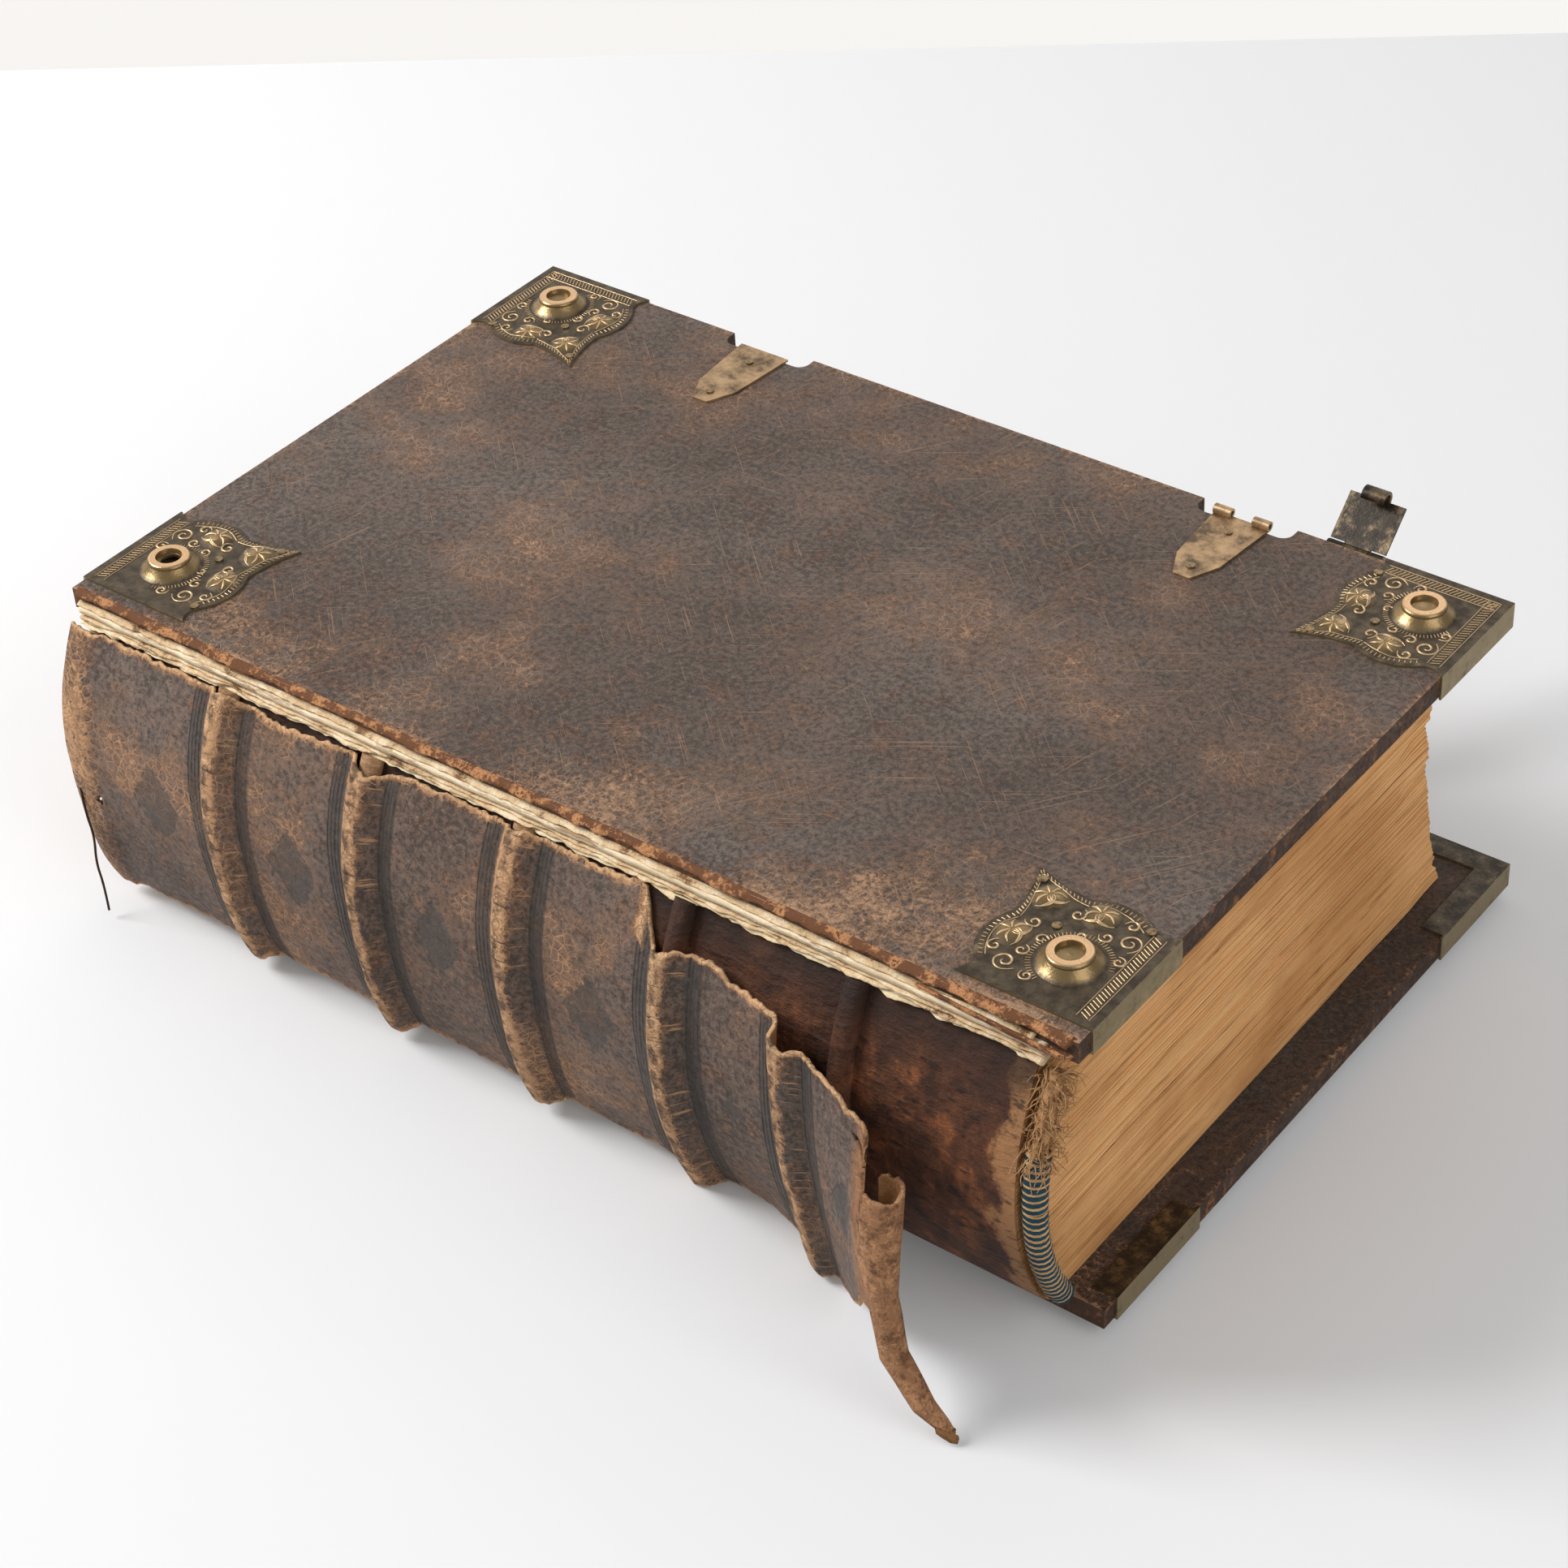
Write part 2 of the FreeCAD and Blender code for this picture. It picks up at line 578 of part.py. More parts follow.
hinge_y = "(%s + %shinge_out)" % (lower_edge, S)
hinge_z = "(%s + %scover_thickness / 2)" % (foot, S)
third = "(%sclasp_width / 4)" % S
pins = []
for place in ("tail", "head"):
    label = "clasp_anchor_" + place
    left = "(%sclasp_%s_x + %sslip_x - %sclasp_width / 2)" % (S, place, S, S)
    under = box(label + "_under", left, "%s - %sanchor_length" % (lower_edge, S), "%s - %splate" % (foot, S),
                S + "clasp_width", "%sanchor_length + %splate" % (S, S), S + "plate")
    riser = box(label + "_riser", left, lower_edge, "%s - %splate" % (foot, S), S + "clasp_width",
                S + "plate", "%scover_thickness + %splate" % (S, S))
    pieces = [under, riser]
    for number, shift in enumerate(("0", "3 * %s" % third)):
        start = "%s + %s" % (left, shift)
        pieces.append(rod("%s_eye_%d" % (label, number), "X", start, hinge_y, hinge_z, S + "knuckle", third))
        pieces.append(box("%s_arm_%d" % (label, number), start, lower_edge, "%s - %splate" % (hinge_z, S), third,
                          S + "hinge_out", "2 * %splate" % S))
    bore = rod(label + "_bore", "X", "%s - 1" % left, hinge_y, hinge_z, S + "pin_radius", "%sclasp_width + 2" % S)
    whole = cut(label + "_bored", fuse(label + "_whole", pieces), bore)
    keep(cut(label + "_nailed", whole, lower_all), label)
    pins.append(rod(label + "_pin", "X", left, hinge_y, hinge_z, S + "pin_radius", S + "clasp_width"))
keep(group("anchor_pin_group", pins), "anchor_hinge_pins")
keep(anchor_group, "clasp_anchor_nails")

# Tail clasp: strap and hook plate, drawn flat about their hinge and then turned up.
half_clasp = "(%sclasp_width / 2)" % S
knuckle_long = "(%sclasp_width / 2 - 2 * %sknuckle_gap)" % (S, S)
reach = "(%sknuckle + 0.5)" % S
strap = box("strap_sheet", "-" + half_clasp, reach, "-%sstrap_plate / 2" % S, S + "clasp_width",
            "%sstrap_length - 2 * %s" % (S, reach), S + "strap_plate")
strap_neck = box("strap_neck", "-%s / 2" % knuckle_long, "0", "-%sstrap_plate / 2" % S, knuckle_long,
                 "%s + 1" % reach, S + "strap_plate")
strap_eye = rod("strap_eye", "X", "-%s / 2" % knuckle_long, "0", "0", S + "knuckle", knuckle_long)
strap_bore = rod("strap_bore", "X", "-" + half_clasp, "0", "0", "%spin_radius + %spin_play" % (S, S),
                 S + "clasp_width")
strap_pieces = [strap, strap_neck, strap_eye]
for number, start in enumerate(("-" + half_clasp, half_clasp + " - " + third)):
    strap_pieces.append(rod("strap_far_eye_%d" % number, "X", start, S + "strap_length", "0", S + "knuckle", third))
    strap_pieces.append(box("strap_far_arm_%d" % number, start, "%sstrap_length - %s - 1" % (S, reach),
                            "-%sstrap_plate / 2" % S, third, "%s + 1" % reach, S + "strap_plate"))
far_bore = rod("strap_far_bore", "X", "-" + half_clasp, S + "strap_length", "0", S + "pin_radius", S + "clasp_width")
strap_solid = cut("strap_bored", fuse("strap_whole", strap_pieces), group("strap_bores", [strap_bore, far_bore]))
bar_pin = rod("bar_pin_rod", "X", "-" + half_clasp, S + "strap_length", "0", S + "pin_radius", S + "clasp_width")
bar_group = group("bar_pin_piece", [bar_pin])

hook_sheet = box("hook_sheet", "-" + half_clasp, reach, "-%shook_plate / 2" % S, S + "clasp_width",
                 "%shook_length - %s" % (S, reach), S + "hook_plate")
hook_neck = box("hook_neck", "-%s / 2" % knuckle_long, "0", "-%shook_plate / 2" % S, knuckle_long,
                "%s + 1" % reach, S + "hook_plate")
hook_eye = rod("hook_eye", "X", "-%s / 2" % knuckle_long, "0", "0", S + "knuckle", knuckle_long)
curl_z = "%shook_curl - %shook_plate / 2" % (S, S)
curl_out = rod("hook_curl_out", "X", "-%shook_tab / 2" % S, S + "hook_length", curl_z, S + "hook_curl", S + "hook_tab")
curl_in = rod("hook_curl_in", "X", "-%shook_tab / 2 - 1" % S, S + "hook_length", curl_z,
              "%shook_curl - %shook_plate" % (S, S), "%shook_tab + 2" % S)
curl_room = box("hook_curl_room", "-%shook_tab / 2 - 1" % S, "%shook_length - 2 * %shook_curl" % (S, S),
                "%shook_plate / 2" % S, "%shook_tab + 2" % S, "2 * %shook_curl" % S, "%shook_curl * 1.35" % S)
curl = cut("hook_curl", curl_out, fuse("hook_curl_cut", [curl_in, curl_room]))
hook_whole = fuse("hook_whole", [hook_sheet, hook_neck, hook_eye, curl])
hook_bore = rod("hook_bore", "X", "-" + half_clasp, "0", "0", "%spin_radius + %spin_play" % (S, S), S + "clasp_width")
hook_solid = cut("hook_bored", hook_whole, hook_bore)

raised = math.radians(v("strap_angle"))
clasp_x = "%sclasp_tail_x + %sslip_x" % (S, S)
for piece, label in ((strap_solid, "clasp_strap"), (bar_group, "clasp_bar_pin")):
    piece.Placement = FreeCAD.Placement(V(0, 0, 0), FreeCAD.Rotation(V(1, 0, 0), v("strap_angle")))
    keep(piece, label, clasp_x, hinge_y, hinge_z)
hook_solid.Placement = FreeCAD.Placement(
    V(0, 0, 0), FreeCAD.Rotation(V(1, 0, 0), v("strap_angle") + v("hook_angle")))
keep(hook_solid, "clasp_hook_plate", clasp_x,
     "%s + %sstrap_length * cos(%sstrap_angle * 1 deg)" % (hinge_y, S, S),
     "%s + %sstrap_length * sin(%sstrap_angle * 1 deg)" % (hinge_z, S, S))

# Text block: sewn leaves with a rounded back and a hollow fore-edge, on raised cords.
top = z_block + v("block_height")
leather_top = top - v("leather_short")
back = v("spine_edge_y")
rounding = axis_y - v("spine_radius")
block_outline = [
    ((back, z_block, 0), (v("fore_low_y"), z_block, 0)),
    ((v("fore_low_y"), z_block, 0), (v("fore_mid_y"), mid_z + 4, 0), (v("fore_top_y"), top, 0)),
    ((v("fore_top_y"), top, 0), (back, top, 0)),
    ((back, top, 0), (rounding, mid_z, 0), (back, z_block, 0)),
]
leaves = pad("leaves", "YZ_Plane", block_outline, S + "block_length")
leaves_body = leaves
bind(leaves_body, Placement_Base_x="-%sblock_length / 2" % S)

cord_ring = "%sspine_radius + %scord_rise" % (S, S)
cord_low = -v("cord_reach")
cords = []
for number in range(5):
    x = "(%d) * %scord_pitch - 0.8" % (number - 2, S)
    cords.append(ring("cord_%d" % (number + 1), x, cord_ring, S + "cord_radius", cord_low, "2 * %scord_reach" % S))
cord_tool = group("cord_group", cords)


def sleeve(name, x, length, inner, thick, low, sweep):
    """Shell on the rounded back between two angles."""
    outer = doc.addObject("Part::Cylinder", name + "_out")
    start = math.radians(low)
    direction = V(0, -math.cos(start), math.sin(start))
    outer.Placement = FreeCAD.Placement(
        V(0, 0, 0), FreeCAD.Rotation(direction, V(0, 0, 0), V(-1, 0, 0), "ZXY"))
    bind(outer, Radius="%s + %s" % (inner, thick), Height=length, Angle=sweep)
    bind(outer, Placement_Base_x="%s + %s" % (x, length), Placement_Base_y=axis, Placement_Base_z=mid)
    core = rod(name + "_in", "X", "%s - 1" % x, axis, mid, inner, "%s + 2" % length)
    return cut(name, outer, core)


keep(cut("leaves_cut", leaves_body, cord_tool), "page_block")
reach_lining = "(asin(%sblock_height / 2 / %sspine_radius) / 1 deg - 2)" % (S, S)
low_lining = -(math.degrees(math.asin(v("block_height") / 2 / v("spine_radius"))) - 2)
lining_shell = sleeve("lining_sheet", "-%sblock_length / 2" % S, S + "block_length", S + "spine_radius",
                S + "lining", low_lining, "2 * " + reach_lining)
keep(cut("lining_cut", lining_shell, cord_tool), "spine_lining")
for number, obj in enumerate(cords):
    keep(group("cord_piece_%d" % (number + 1), [obj]), "raised_cord_%d" % (number + 1))

band_ring = "%sspine_radius - %sendband_sink" % (S, S)
tail_band = ring("tail_band", "%sblock_length / 2 + %sendband_radius" % (S, S), band_ring,
                 S + "endband_radius", -32, "46")
keep(group("tail_band_piece", [tail_band]), "tail_endband")
core_piece = ring("tail_core", "%sblock_length / 2 + %sendband_radius" % (S, S), band_ring,
                  S + "core_radius", 14, "17")
keep(group("tail_core_piece", [core_piece]), "tail_endband_core")
head_band = ring("head_band", "-%sblock_length / 2 - %sendband_radius" % (S, S), band_ring,
                 S + "endband_radius", -31, "62")
keep(group("head_band_piece", [head_band]), "head_endband")

leaf_x = "-%sblock_length / 2 + 1" % S
upper_leaf = box("upper_leaf", leaf_x, S + "spine_edge_y", "%s - %spaper" % (upper_in, S),
                 "%sblock_length - 2" % S, "%sfore_top_y - %sspine_edge_y" % (S, S), S + "paper")
keep(upper_leaf, "upper_flyleaf", leaf_x, S + "spine_edge_y", "%s - %spaper" % (upper_in, S))
lower_leaf = box("lower_leaf", leaf_x, "%sjoint_y + %sslip_y" % (S, S), lower_in, "%sblock_length - 2" % S,
                 "%sfore_low_y - %sjoint_y - %sslip_y" % (S, S, S), S + "paper")
keep(lower_leaf, "lower_flyleaf", leaf_x, "%sjoint_y + %sslip_y" % (S, S), lower_in)
guard = box("guard", "-%sblock_length / 2 - 3" % S, "%sspine_edge_y - %sstrip_width" % (S, S),
            "%s - 0.2 - %sstrip_thick" % (upper_in, S), "%sblock_length + 6" % S,
            "%sstrip_width - 0.1" % S, S + "strip_thick")
guard_room = rod("guard_room", "X", "-250", axis, mid, "%sspine_radius + %slining" % (S, S), "500")
keep(cut("guard_cut", guard, guard_room), "joint_guard")


# Spine leather: one skin over the cords, torn free of the upper cover; its tail hangs loose.
thick = v("spine_leather")
base_off = v("lining") + v("lining_gap") + thick
STEPS = 9


def back_y(z, off):
    """Outer face of the leather at height z, off millimetres outside the back of the leaves."""
    r = v("spine_radius") + off
    drop = max(0.0, (mid_z - z) / (v("block_height") / 2))
    return axis_y - math.sqrt(r * r - (z - mid_z) ** 2) - v("foot_slack") * drop * drop


def tuck(low, inward, reach, depth):
    """Points of the skin that turn in under the lower joint, before its foot at low."""
    rows = []
    for far, up in ((1.0, 0.1), (0.55, 0.0), (0.12, 0.0)):
        rows.append(V(low.x + inward.x * reach * far, low.y + inward.y * reach * far, low.z + up - depth))
    return rows


def skin_rows(x, rise):
    """Outer and inner points of the glued part of the skin at x, lifted by rise over a band."""
    outer = []
    for step in range(STEPS + 1):
        z = v("leather_foot") + (leather_top - v("leather_foot")) * step / STEPS
        outer.append(V(x, back_y(z, base_off) - rise, z))
    inner = [V(p.x, p.y + thick, p.z + (thick if i == 0 else 0)) for i, p in enumerate(outer)]
    joint = v("joint_y") + v("slip_y") - 0.3
    reach = joint - outer[0].y
    under = tuck(V(x, outer[0].y, z_foot), V(0, 1, 0), reach, 0)
    lift = V(0, 0, thick)
    return under + outer, [p + lift for p in under] + inner


# The loose tail: foot, belly and top edge of the skin at nine places along it.
flap_foot = [(55, -10, 1.1), (62.4, -9.5, 1.1), (77, -9, 1.1), (91, -10.5, 1.1), (105, -15, 1.1),
             (119, -20, 1.6), (130, -27, 4), (142, -36.5, 12), (153, -45, 24)]
flap_belly = [(55, -23.4), (62.4, -23.4), (77, -23), (91, -23.5), (104, -24.4), (113, -26),
              (126, -31.5), (140, -39.5), (150.5, -46.5)]
flap_top = [(55, -16.3, 100), (62.4, -16.5, 103.5), (77, -17, 104.5), (91, -18.5, 101), (104, -22, 100),
            (112, -26, 98), (125, -30, 96.5), (139, -35, 94), (150, -38.5, 90)]
flap_tuck = [11.6, 11, 10, 9, 7, 3, 1, 1, 1]
# Middle line and radius of the curled end, from its point on the table up to its mouth.
horn_line = [(188.3, -54, 3.2, 1.0), (184.8, -55, 6.4, 2.9), (178.8, -55, 10.5, 4.2), (167.5, -53, 23.5, 4.9),
             (162.5, -50, 41.8, 4.9), (160, -46.5, 60.5, 6.4), (158.1, -42, 77, 7.0)]
horn_inward = V(0.6, 0.8, 0)


def flap_rows(place, rise):
    """Points of the flap at a place along it, lifted by rise over a band."""
    index = min(int(place), len(flap_foot) - 2)
    part = place - index

    def mix(rows):
        return [a + (b - a) * part for a, b in zip(rows[index], rows[index + 1])]

    low = mix(flap_foot)
    belly = mix(flap_belly)
    high = mix(flap_top)
    ahead = [b - a for a, b in zip(flap_belly[index], flap_belly[index + 1])]
    length = math.hypot(ahead[0], ahead[1])
    inward = V(-ahead[1] / length, ahead[0] / length, 0)
    outer = []
    for step in range(STEPS + 1):
        f = step / STEPS
        a = (1 - f) * (1 - 2 * f)
        b = 4 * f * (1 - f)
        c = f * (2 * f - 1)
        x = a * low[0] + b * belly[0] + c * high[0]
        y = a * low[1] + b * belly[1] + c * high[1]
        outer.append(V(x, y, low[2] + (high[2] - low[2]) * f) - inward * rise)
    inner = [p + inward * thick for p in outer]
    reach = flap_tuck[index] + (flap_tuck[index + 1] - flap_tuck[index]) * part
    under = tuck(outer[0], inward, reach, 0)
    lift = V(0, 0, thick)
    first = [p + lift for p in under]
    inner[0] = inner[0] + lift
    return under + outer, first + inner


def horn_place(share):
    """Middle and radius of the curled end at a share of its length from the point."""
    spans = [math.dist(a[:3], b[:3]) for a, b in zip(horn_line, horn_line[1:])]
    left = share * sum(spans)
    for a, b, span in zip(horn_line, horn_line[1:], spans):
        if left <= span:
            part = left / span
            place = [p + (q - p) * part for p, q in zip(a, b)]
            return V(*place[:3]), place[3]
        left -= span
    return V(*horn_line[-1][:3]), horn_line[-1][3]


def horn_rows(turned):
    """Points of the skin where it has turned round the middle line of the curled end."""
    ahead = V(horn_inward.y, -horn_inward.x, 0)
    angle = math.radians(turned)
    arm = ahead * math.sin(angle) - horn_inward * math.cos(angle)
    winding = 1 - 0.3 * turned / 360
    new_outer = []
    new_inner = []
    for step in range(-3, STEPS + 1):
        middle, radius = horn_place(max(step, 0.12 * step) / STEPS if step > 0 else 0)
        if step < 0:
            middle = middle + V(0.5, 0.1, -0.3) * -step
            radius = radius * (1 + 0.2 * step)
        new_outer.append(middle + arm * (radius * winding))
        new_inner.append(middle + arm * max(radius * winding - thick, 0.3 * radius / (1 + radius)))
    return new_outer, new_inner


def smooth_face(rows):
    surface = Part.BSplineSurface()
    us = len(rows)
    vs = len(rows[0])
    u_mults = [3] + [1] * (us - 3) + [3]
    v_mults = [4] + [1] * (vs - 4) + [4]
    surface.buildFromPolesMultsKnots(rows, u_mults, v_mults, list(range(len(u_mults))),
                                     list(range(len(v_mults))), False, False, 2, 3)
    return surface


def skin_solid(outer_rows, inner_rows):
    outer = smooth_face(outer_rows)
    inner = smooth_face(inner_rows)
    u0, u1, v0, v1 = outer.bounds()
    faces = [outer.toShape(), inner.toShape()]
    for level in (u0, u1):
        faces.append(Part.makeRuledSurface(outer.uIso(level).toShape(), inner.uIso(level).toShape()))
    for level in (v0, v1):
        faces.append(Part.makeRuledSurface(outer.vIso(level).toShape(), inner.vIso(level).toShape()))
    shell = Part.makeCompound(faces)
    shell.sewShape()
    solid = Part.makeSolid(shell.Shells[0])
    if solid.Volume < 0:
        solid.reverse()
    return solid


bump = ((-1.05, 0.0), (-0.8, 0.3), (-0.5, 0.95), (0.0, 1.12), (0.5, 0.95), (0.8, 0.3), (1.05, 0.0))
stations = [skin_rows(-v("board_length") / 2 + along, 0) for along in (0, v("head_cap"))]
for number in range(3):
    centre = (number - 2) * v("cord_pitch") - 0.8
    stations.append(skin_rows(centre - 1.6 * v("band_half"), 0))
    for along, up in bump:
        stations.append(skin_rows(centre + along * v("band_half"), up * v("band_height")))
    stations.append(skin_rows(centre + 1.6 * v("band_half"), 0))
    if number < 2:
        stations.append(skin_rows(centre + v("cord_pitch") / 2, 0))
stations.append(skin_rows(v("tear_x") - 18, 0))
stations.append(skin_rows(v("tear_x"), 0))
for place, rise in ((0.0, 0.0), (0.08, 0.3), (0.55, 0.95), (1.0, 1.12), (1.23, 0.95), (1.36, 0.3), (1.47, 0.0),
                    (2, 0), (3, 0), (4, 0), (4.35, 0), (4.5, 0.3), (4.72, 0.95), (5.0, 1.12), (5.25, 0.95),
                    (5.4, 0.3), (5.52, 0), (6, 0), (7, 0), (7.6, 0), (8, 0)):
    stations.append(flap_rows(place, rise * v("band_height")))
for turned in (-25, 0, 40, 85, 130, 175, 220, 265, 300):
    stations.append(horn_rows(turned))
feature("spine_leather", skin_solid([a for a, b in stations], [b for a, b in stations]))

# A broken sewing thread hangs from the head of the spine.
thread_points = [V(-197.5, -22.3, 52), V(-197.0, -23.0, 42), V(-195.4, -22.7, 32), V(-194.8, -24.9, 22),
                 V(-193.6, -24.6, 12), V(-191.2, -26.6, 3.2)]
thread_radius = 0.45


def rounded_path(points):
    edges = []
    last = points[0]
    for before, here, after in zip(points, points[1:], points[2:]):
        a = (before - here).normalize()
        b = (after - here).normalize()
        shorter = min((before - here).Length, (after - here).Length)
        turn = math.pi - math.acos(max(-1.0, min(1.0, a.dot(b))))
        radius = 0.45 * shorter / math.tan(turn / 2)
        trim = 0.45 * shorter
        start = here + a * trim
        end = here + b * trim
        middle = here + (a + b).normalize() * (radius / math.cos(turn / 2) - radius)
        edges.append(Part.LineSegment(last, start).toShape())
        edges.append(Part.Arc(start, middle, end).toShape())
        last = end
        print("thread radius %.2f mm" % radius)
    edges.append(Part.LineSegment(last, points[-1]).toShape())
    return Part.Wire(edges)


path = rounded_path(thread_points)
first = thread_points[1] - thread_points[0]
section = Part.Wire([Part.Circle(thread_points[0], first, thread_radius).toShape()])
thread = path.makePipeShell([section], True, True)
print("thread volume %.3f, section times length %.3f" % (
    thread.Volume, math.pi * thread_radius ** 2 * path.Length))
feature("loose_thread", thread)

doc.recompute()
bad = []
for obj in doc.Objects:
    if "Invalid" in obj.State or "Error" in obj.State:
        bad.append(obj.Name)
for obj in parts:
    if obj.Shape.isNull() or not obj.Shape.isValid():
        bad.append("shape of " + obj.Label)
if bad:
    raise RuntimeError("failed: " + ", ".join(bad))
for obj in parts:
    box_ = obj.Shape.BoundBox
    print("%-28s %2d solid(s) %10.1f mm3  z %.1f..%.1f" % (
        obj.Label, len(obj.Shape.Solids), obj.Shape.Volume, box_.ZMin, box_.ZMax))
    obj.Shape.exportStep("parts/%s.step" % obj.Label)
whole = Part.makeCompound([obj.Shape for obj in parts]).BoundBox
print("box", whole)
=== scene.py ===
# %% [markdown]
# # An old leather folio
# A big book from the hand press: calf over wooden boards, sewn on raised cords, with brass
# corners and clasps. The frame holds every hard part at its right size and place. This lesson
# dresses it: the worn leather, the edges of the leaves, the silk at the tail and the torn joint.

# %% Open the frame
import math
import random

import bmesh
import bpy
from mathutils import Matrix, Vector, noise


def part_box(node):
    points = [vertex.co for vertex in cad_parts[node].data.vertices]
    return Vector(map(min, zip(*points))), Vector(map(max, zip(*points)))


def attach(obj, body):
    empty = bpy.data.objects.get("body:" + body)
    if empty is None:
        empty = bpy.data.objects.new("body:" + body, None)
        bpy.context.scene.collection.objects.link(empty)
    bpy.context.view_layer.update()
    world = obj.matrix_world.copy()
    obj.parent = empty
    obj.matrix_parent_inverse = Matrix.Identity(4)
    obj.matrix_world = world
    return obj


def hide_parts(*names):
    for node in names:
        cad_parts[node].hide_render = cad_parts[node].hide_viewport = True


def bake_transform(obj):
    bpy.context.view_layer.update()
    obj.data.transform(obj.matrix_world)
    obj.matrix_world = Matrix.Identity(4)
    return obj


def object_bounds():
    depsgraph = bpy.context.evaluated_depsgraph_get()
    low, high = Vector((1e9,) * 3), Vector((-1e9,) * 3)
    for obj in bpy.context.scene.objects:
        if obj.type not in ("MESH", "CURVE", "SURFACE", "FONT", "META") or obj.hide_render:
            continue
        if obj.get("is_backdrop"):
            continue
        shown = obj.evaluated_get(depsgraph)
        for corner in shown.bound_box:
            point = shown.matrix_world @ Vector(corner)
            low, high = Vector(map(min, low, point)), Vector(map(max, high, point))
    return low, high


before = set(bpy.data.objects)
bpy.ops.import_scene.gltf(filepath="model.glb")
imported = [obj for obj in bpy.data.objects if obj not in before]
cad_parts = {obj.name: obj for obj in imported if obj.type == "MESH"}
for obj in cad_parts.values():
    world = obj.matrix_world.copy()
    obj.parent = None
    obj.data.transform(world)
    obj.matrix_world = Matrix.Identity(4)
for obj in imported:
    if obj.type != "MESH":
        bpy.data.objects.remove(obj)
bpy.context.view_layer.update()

# %% [markdown]
# ## Measures and two small helpers
# The bookbinder's measures are in millimetres from the middle of the spine edge, while the
# scene is in metres from the middle of the whole part. One function turns the first into the
# second. Colours are written as on a paint card, and one function makes them linear. A third
# adds a shader node with its settings and links, so that a finish reads as a short list.

# %% Measures, colours and nodes
MM = 0.001


def at(x, y, z):
    """A point in the book's own millimetres, as a place in the scene."""
    return Vector(((x - 1.5) * MM, (y - 134.0) * MM, z * MM))


def paint(code):
    """An sRGB hex colour as the linear values that a shader works with."""
    parts = [int(code[i:i + 2], 16) / 255 for i in (1, 3, 5)]
    return tuple(p / 12.92 if p <= 0.04045 else ((p + 0.055) / 1.055) ** 2.4 for p in parts) + (1.0,)


def add(tree, kind, inputs=None, **settings):
    """Adds a node; an input takes a value, a socket, or a node whose first live output is used."""
    made = tree.nodes.new("ShaderNode" + kind)
    for name, value in settings.items():
        setattr(made, name, value)
    for name, value in (inputs or {}).items():
        if isinstance(name, int):
            socket = made.inputs[name]
        else:
            socket = next(s for s in made.inputs if s.enabled and s.name == name)
        if isinstance(value, bpy.types.Node):
            value = next(s for s in value.outputs if s.enabled)
        if isinstance(value, bpy.types.NodeSocket):
            tree.links.new(value, socket)
        else:
            socket.default_value = value
    return made


def new_finish(name):
    """An empty material with its shader, its output and the piece's own coordinates."""
    made = bpy.data.materials.new(name)
    made.use_nodes = True
    tree = made.node_tree
    tree.nodes.clear()
    shader = add(tree, "BsdfPrincipled")
    add(tree, "OutputMaterial", {"Surface": shader})
    where = add(tree, "TexCoord").outputs["Object"]
    return made, tree, shader, where


def summed(tree, base, *shares):
    """A pattern with others added to it, each with its share."""
    for pattern, share in shares:
        base = add(tree, "Math", {0: pattern, 1: share, 2: base}, operation="MULTIPLY_ADD")
    return base


def coats(tree, tone, *layers):
    """Lays colours over a tone, each where its pattern rises from low to high, up to a most."""
    for code, pattern, low, high, *most in layers:
        mask = add(tree, "MapRange", {"Value": pattern, "From Min": low, "From Max": high,
                                      "To Min": 0.0, "To Max": most[0] if most else 1.0})
        tone = add(tree, "Mix", {"Factor": mask, "A": tone, "B": paint(code)}, data_type="RGBA")
    return tone


def join(tree, shader, tone, relief, rough, gloss):
    """Gives the shader its colour, its bumps, its roughness and how much it mirrors."""
    tree.links.new(tone.outputs[2], shader.inputs["Base Color"])
    tree.links.new(relief.outputs[0], shader.inputs["Normal"])
    if isinstance(rough, float):
        shader.inputs["Roughness"].default_value = rough
    else:
        tree.links.new(rough.outputs[0], shader.inputs["Roughness"])
    shader.inputs["Specular IOR Level"].default_value = gloss


print("leather black", paint("#2b2523")[:3])

# %% [markdown]
# ## Camera, table and light
# The camera stands where the picture was taken: beyond the tail of the spine, looking down on
# the corner. The table is white and ends at a pale wall. Its white comes from what the camera
# sees, not from more light, so the leather is lit at a plain level.

# %% Camera
lens = bpy.data.cameras.new("camera")
lens.lens = 79.95
lens.sensor_width = 36
lens.clip_end = 20
camera = bpy.data.objects.new("camera", lens)
bpy.context.scene.collection.objects.link(camera)
right = Vector((0.79363, 0.60601, -0.05381))
down = Vector((0.34125, -0.51664, -0.78526))
ahead = right.cross(down)
turn = Matrix((right, -down, -ahead)).transposed().to_4x4()
camera.matrix_world = Matrix.Translation(at(592.84, -596.26, 774.72)) @ turn
bpy.context.scene.camera = camera
print("camera looks along", [round(v, 3) for v in ahead])

# %% Table and wall
def piece_from(name, bm, finish, smooth=True):
    """Turns a bmesh into a linked object with its finish."""
    for face in bm.faces:
        face.smooth = smooth
    mesh = bpy.data.meshes.new(name)
    bm.to_mesh(mesh)
    bm.free()
    piece = bpy.data.objects.new(name, mesh)
    bpy.context.scene.collection.objects.link(piece)
    mesh.materials.append(finish)
    return piece


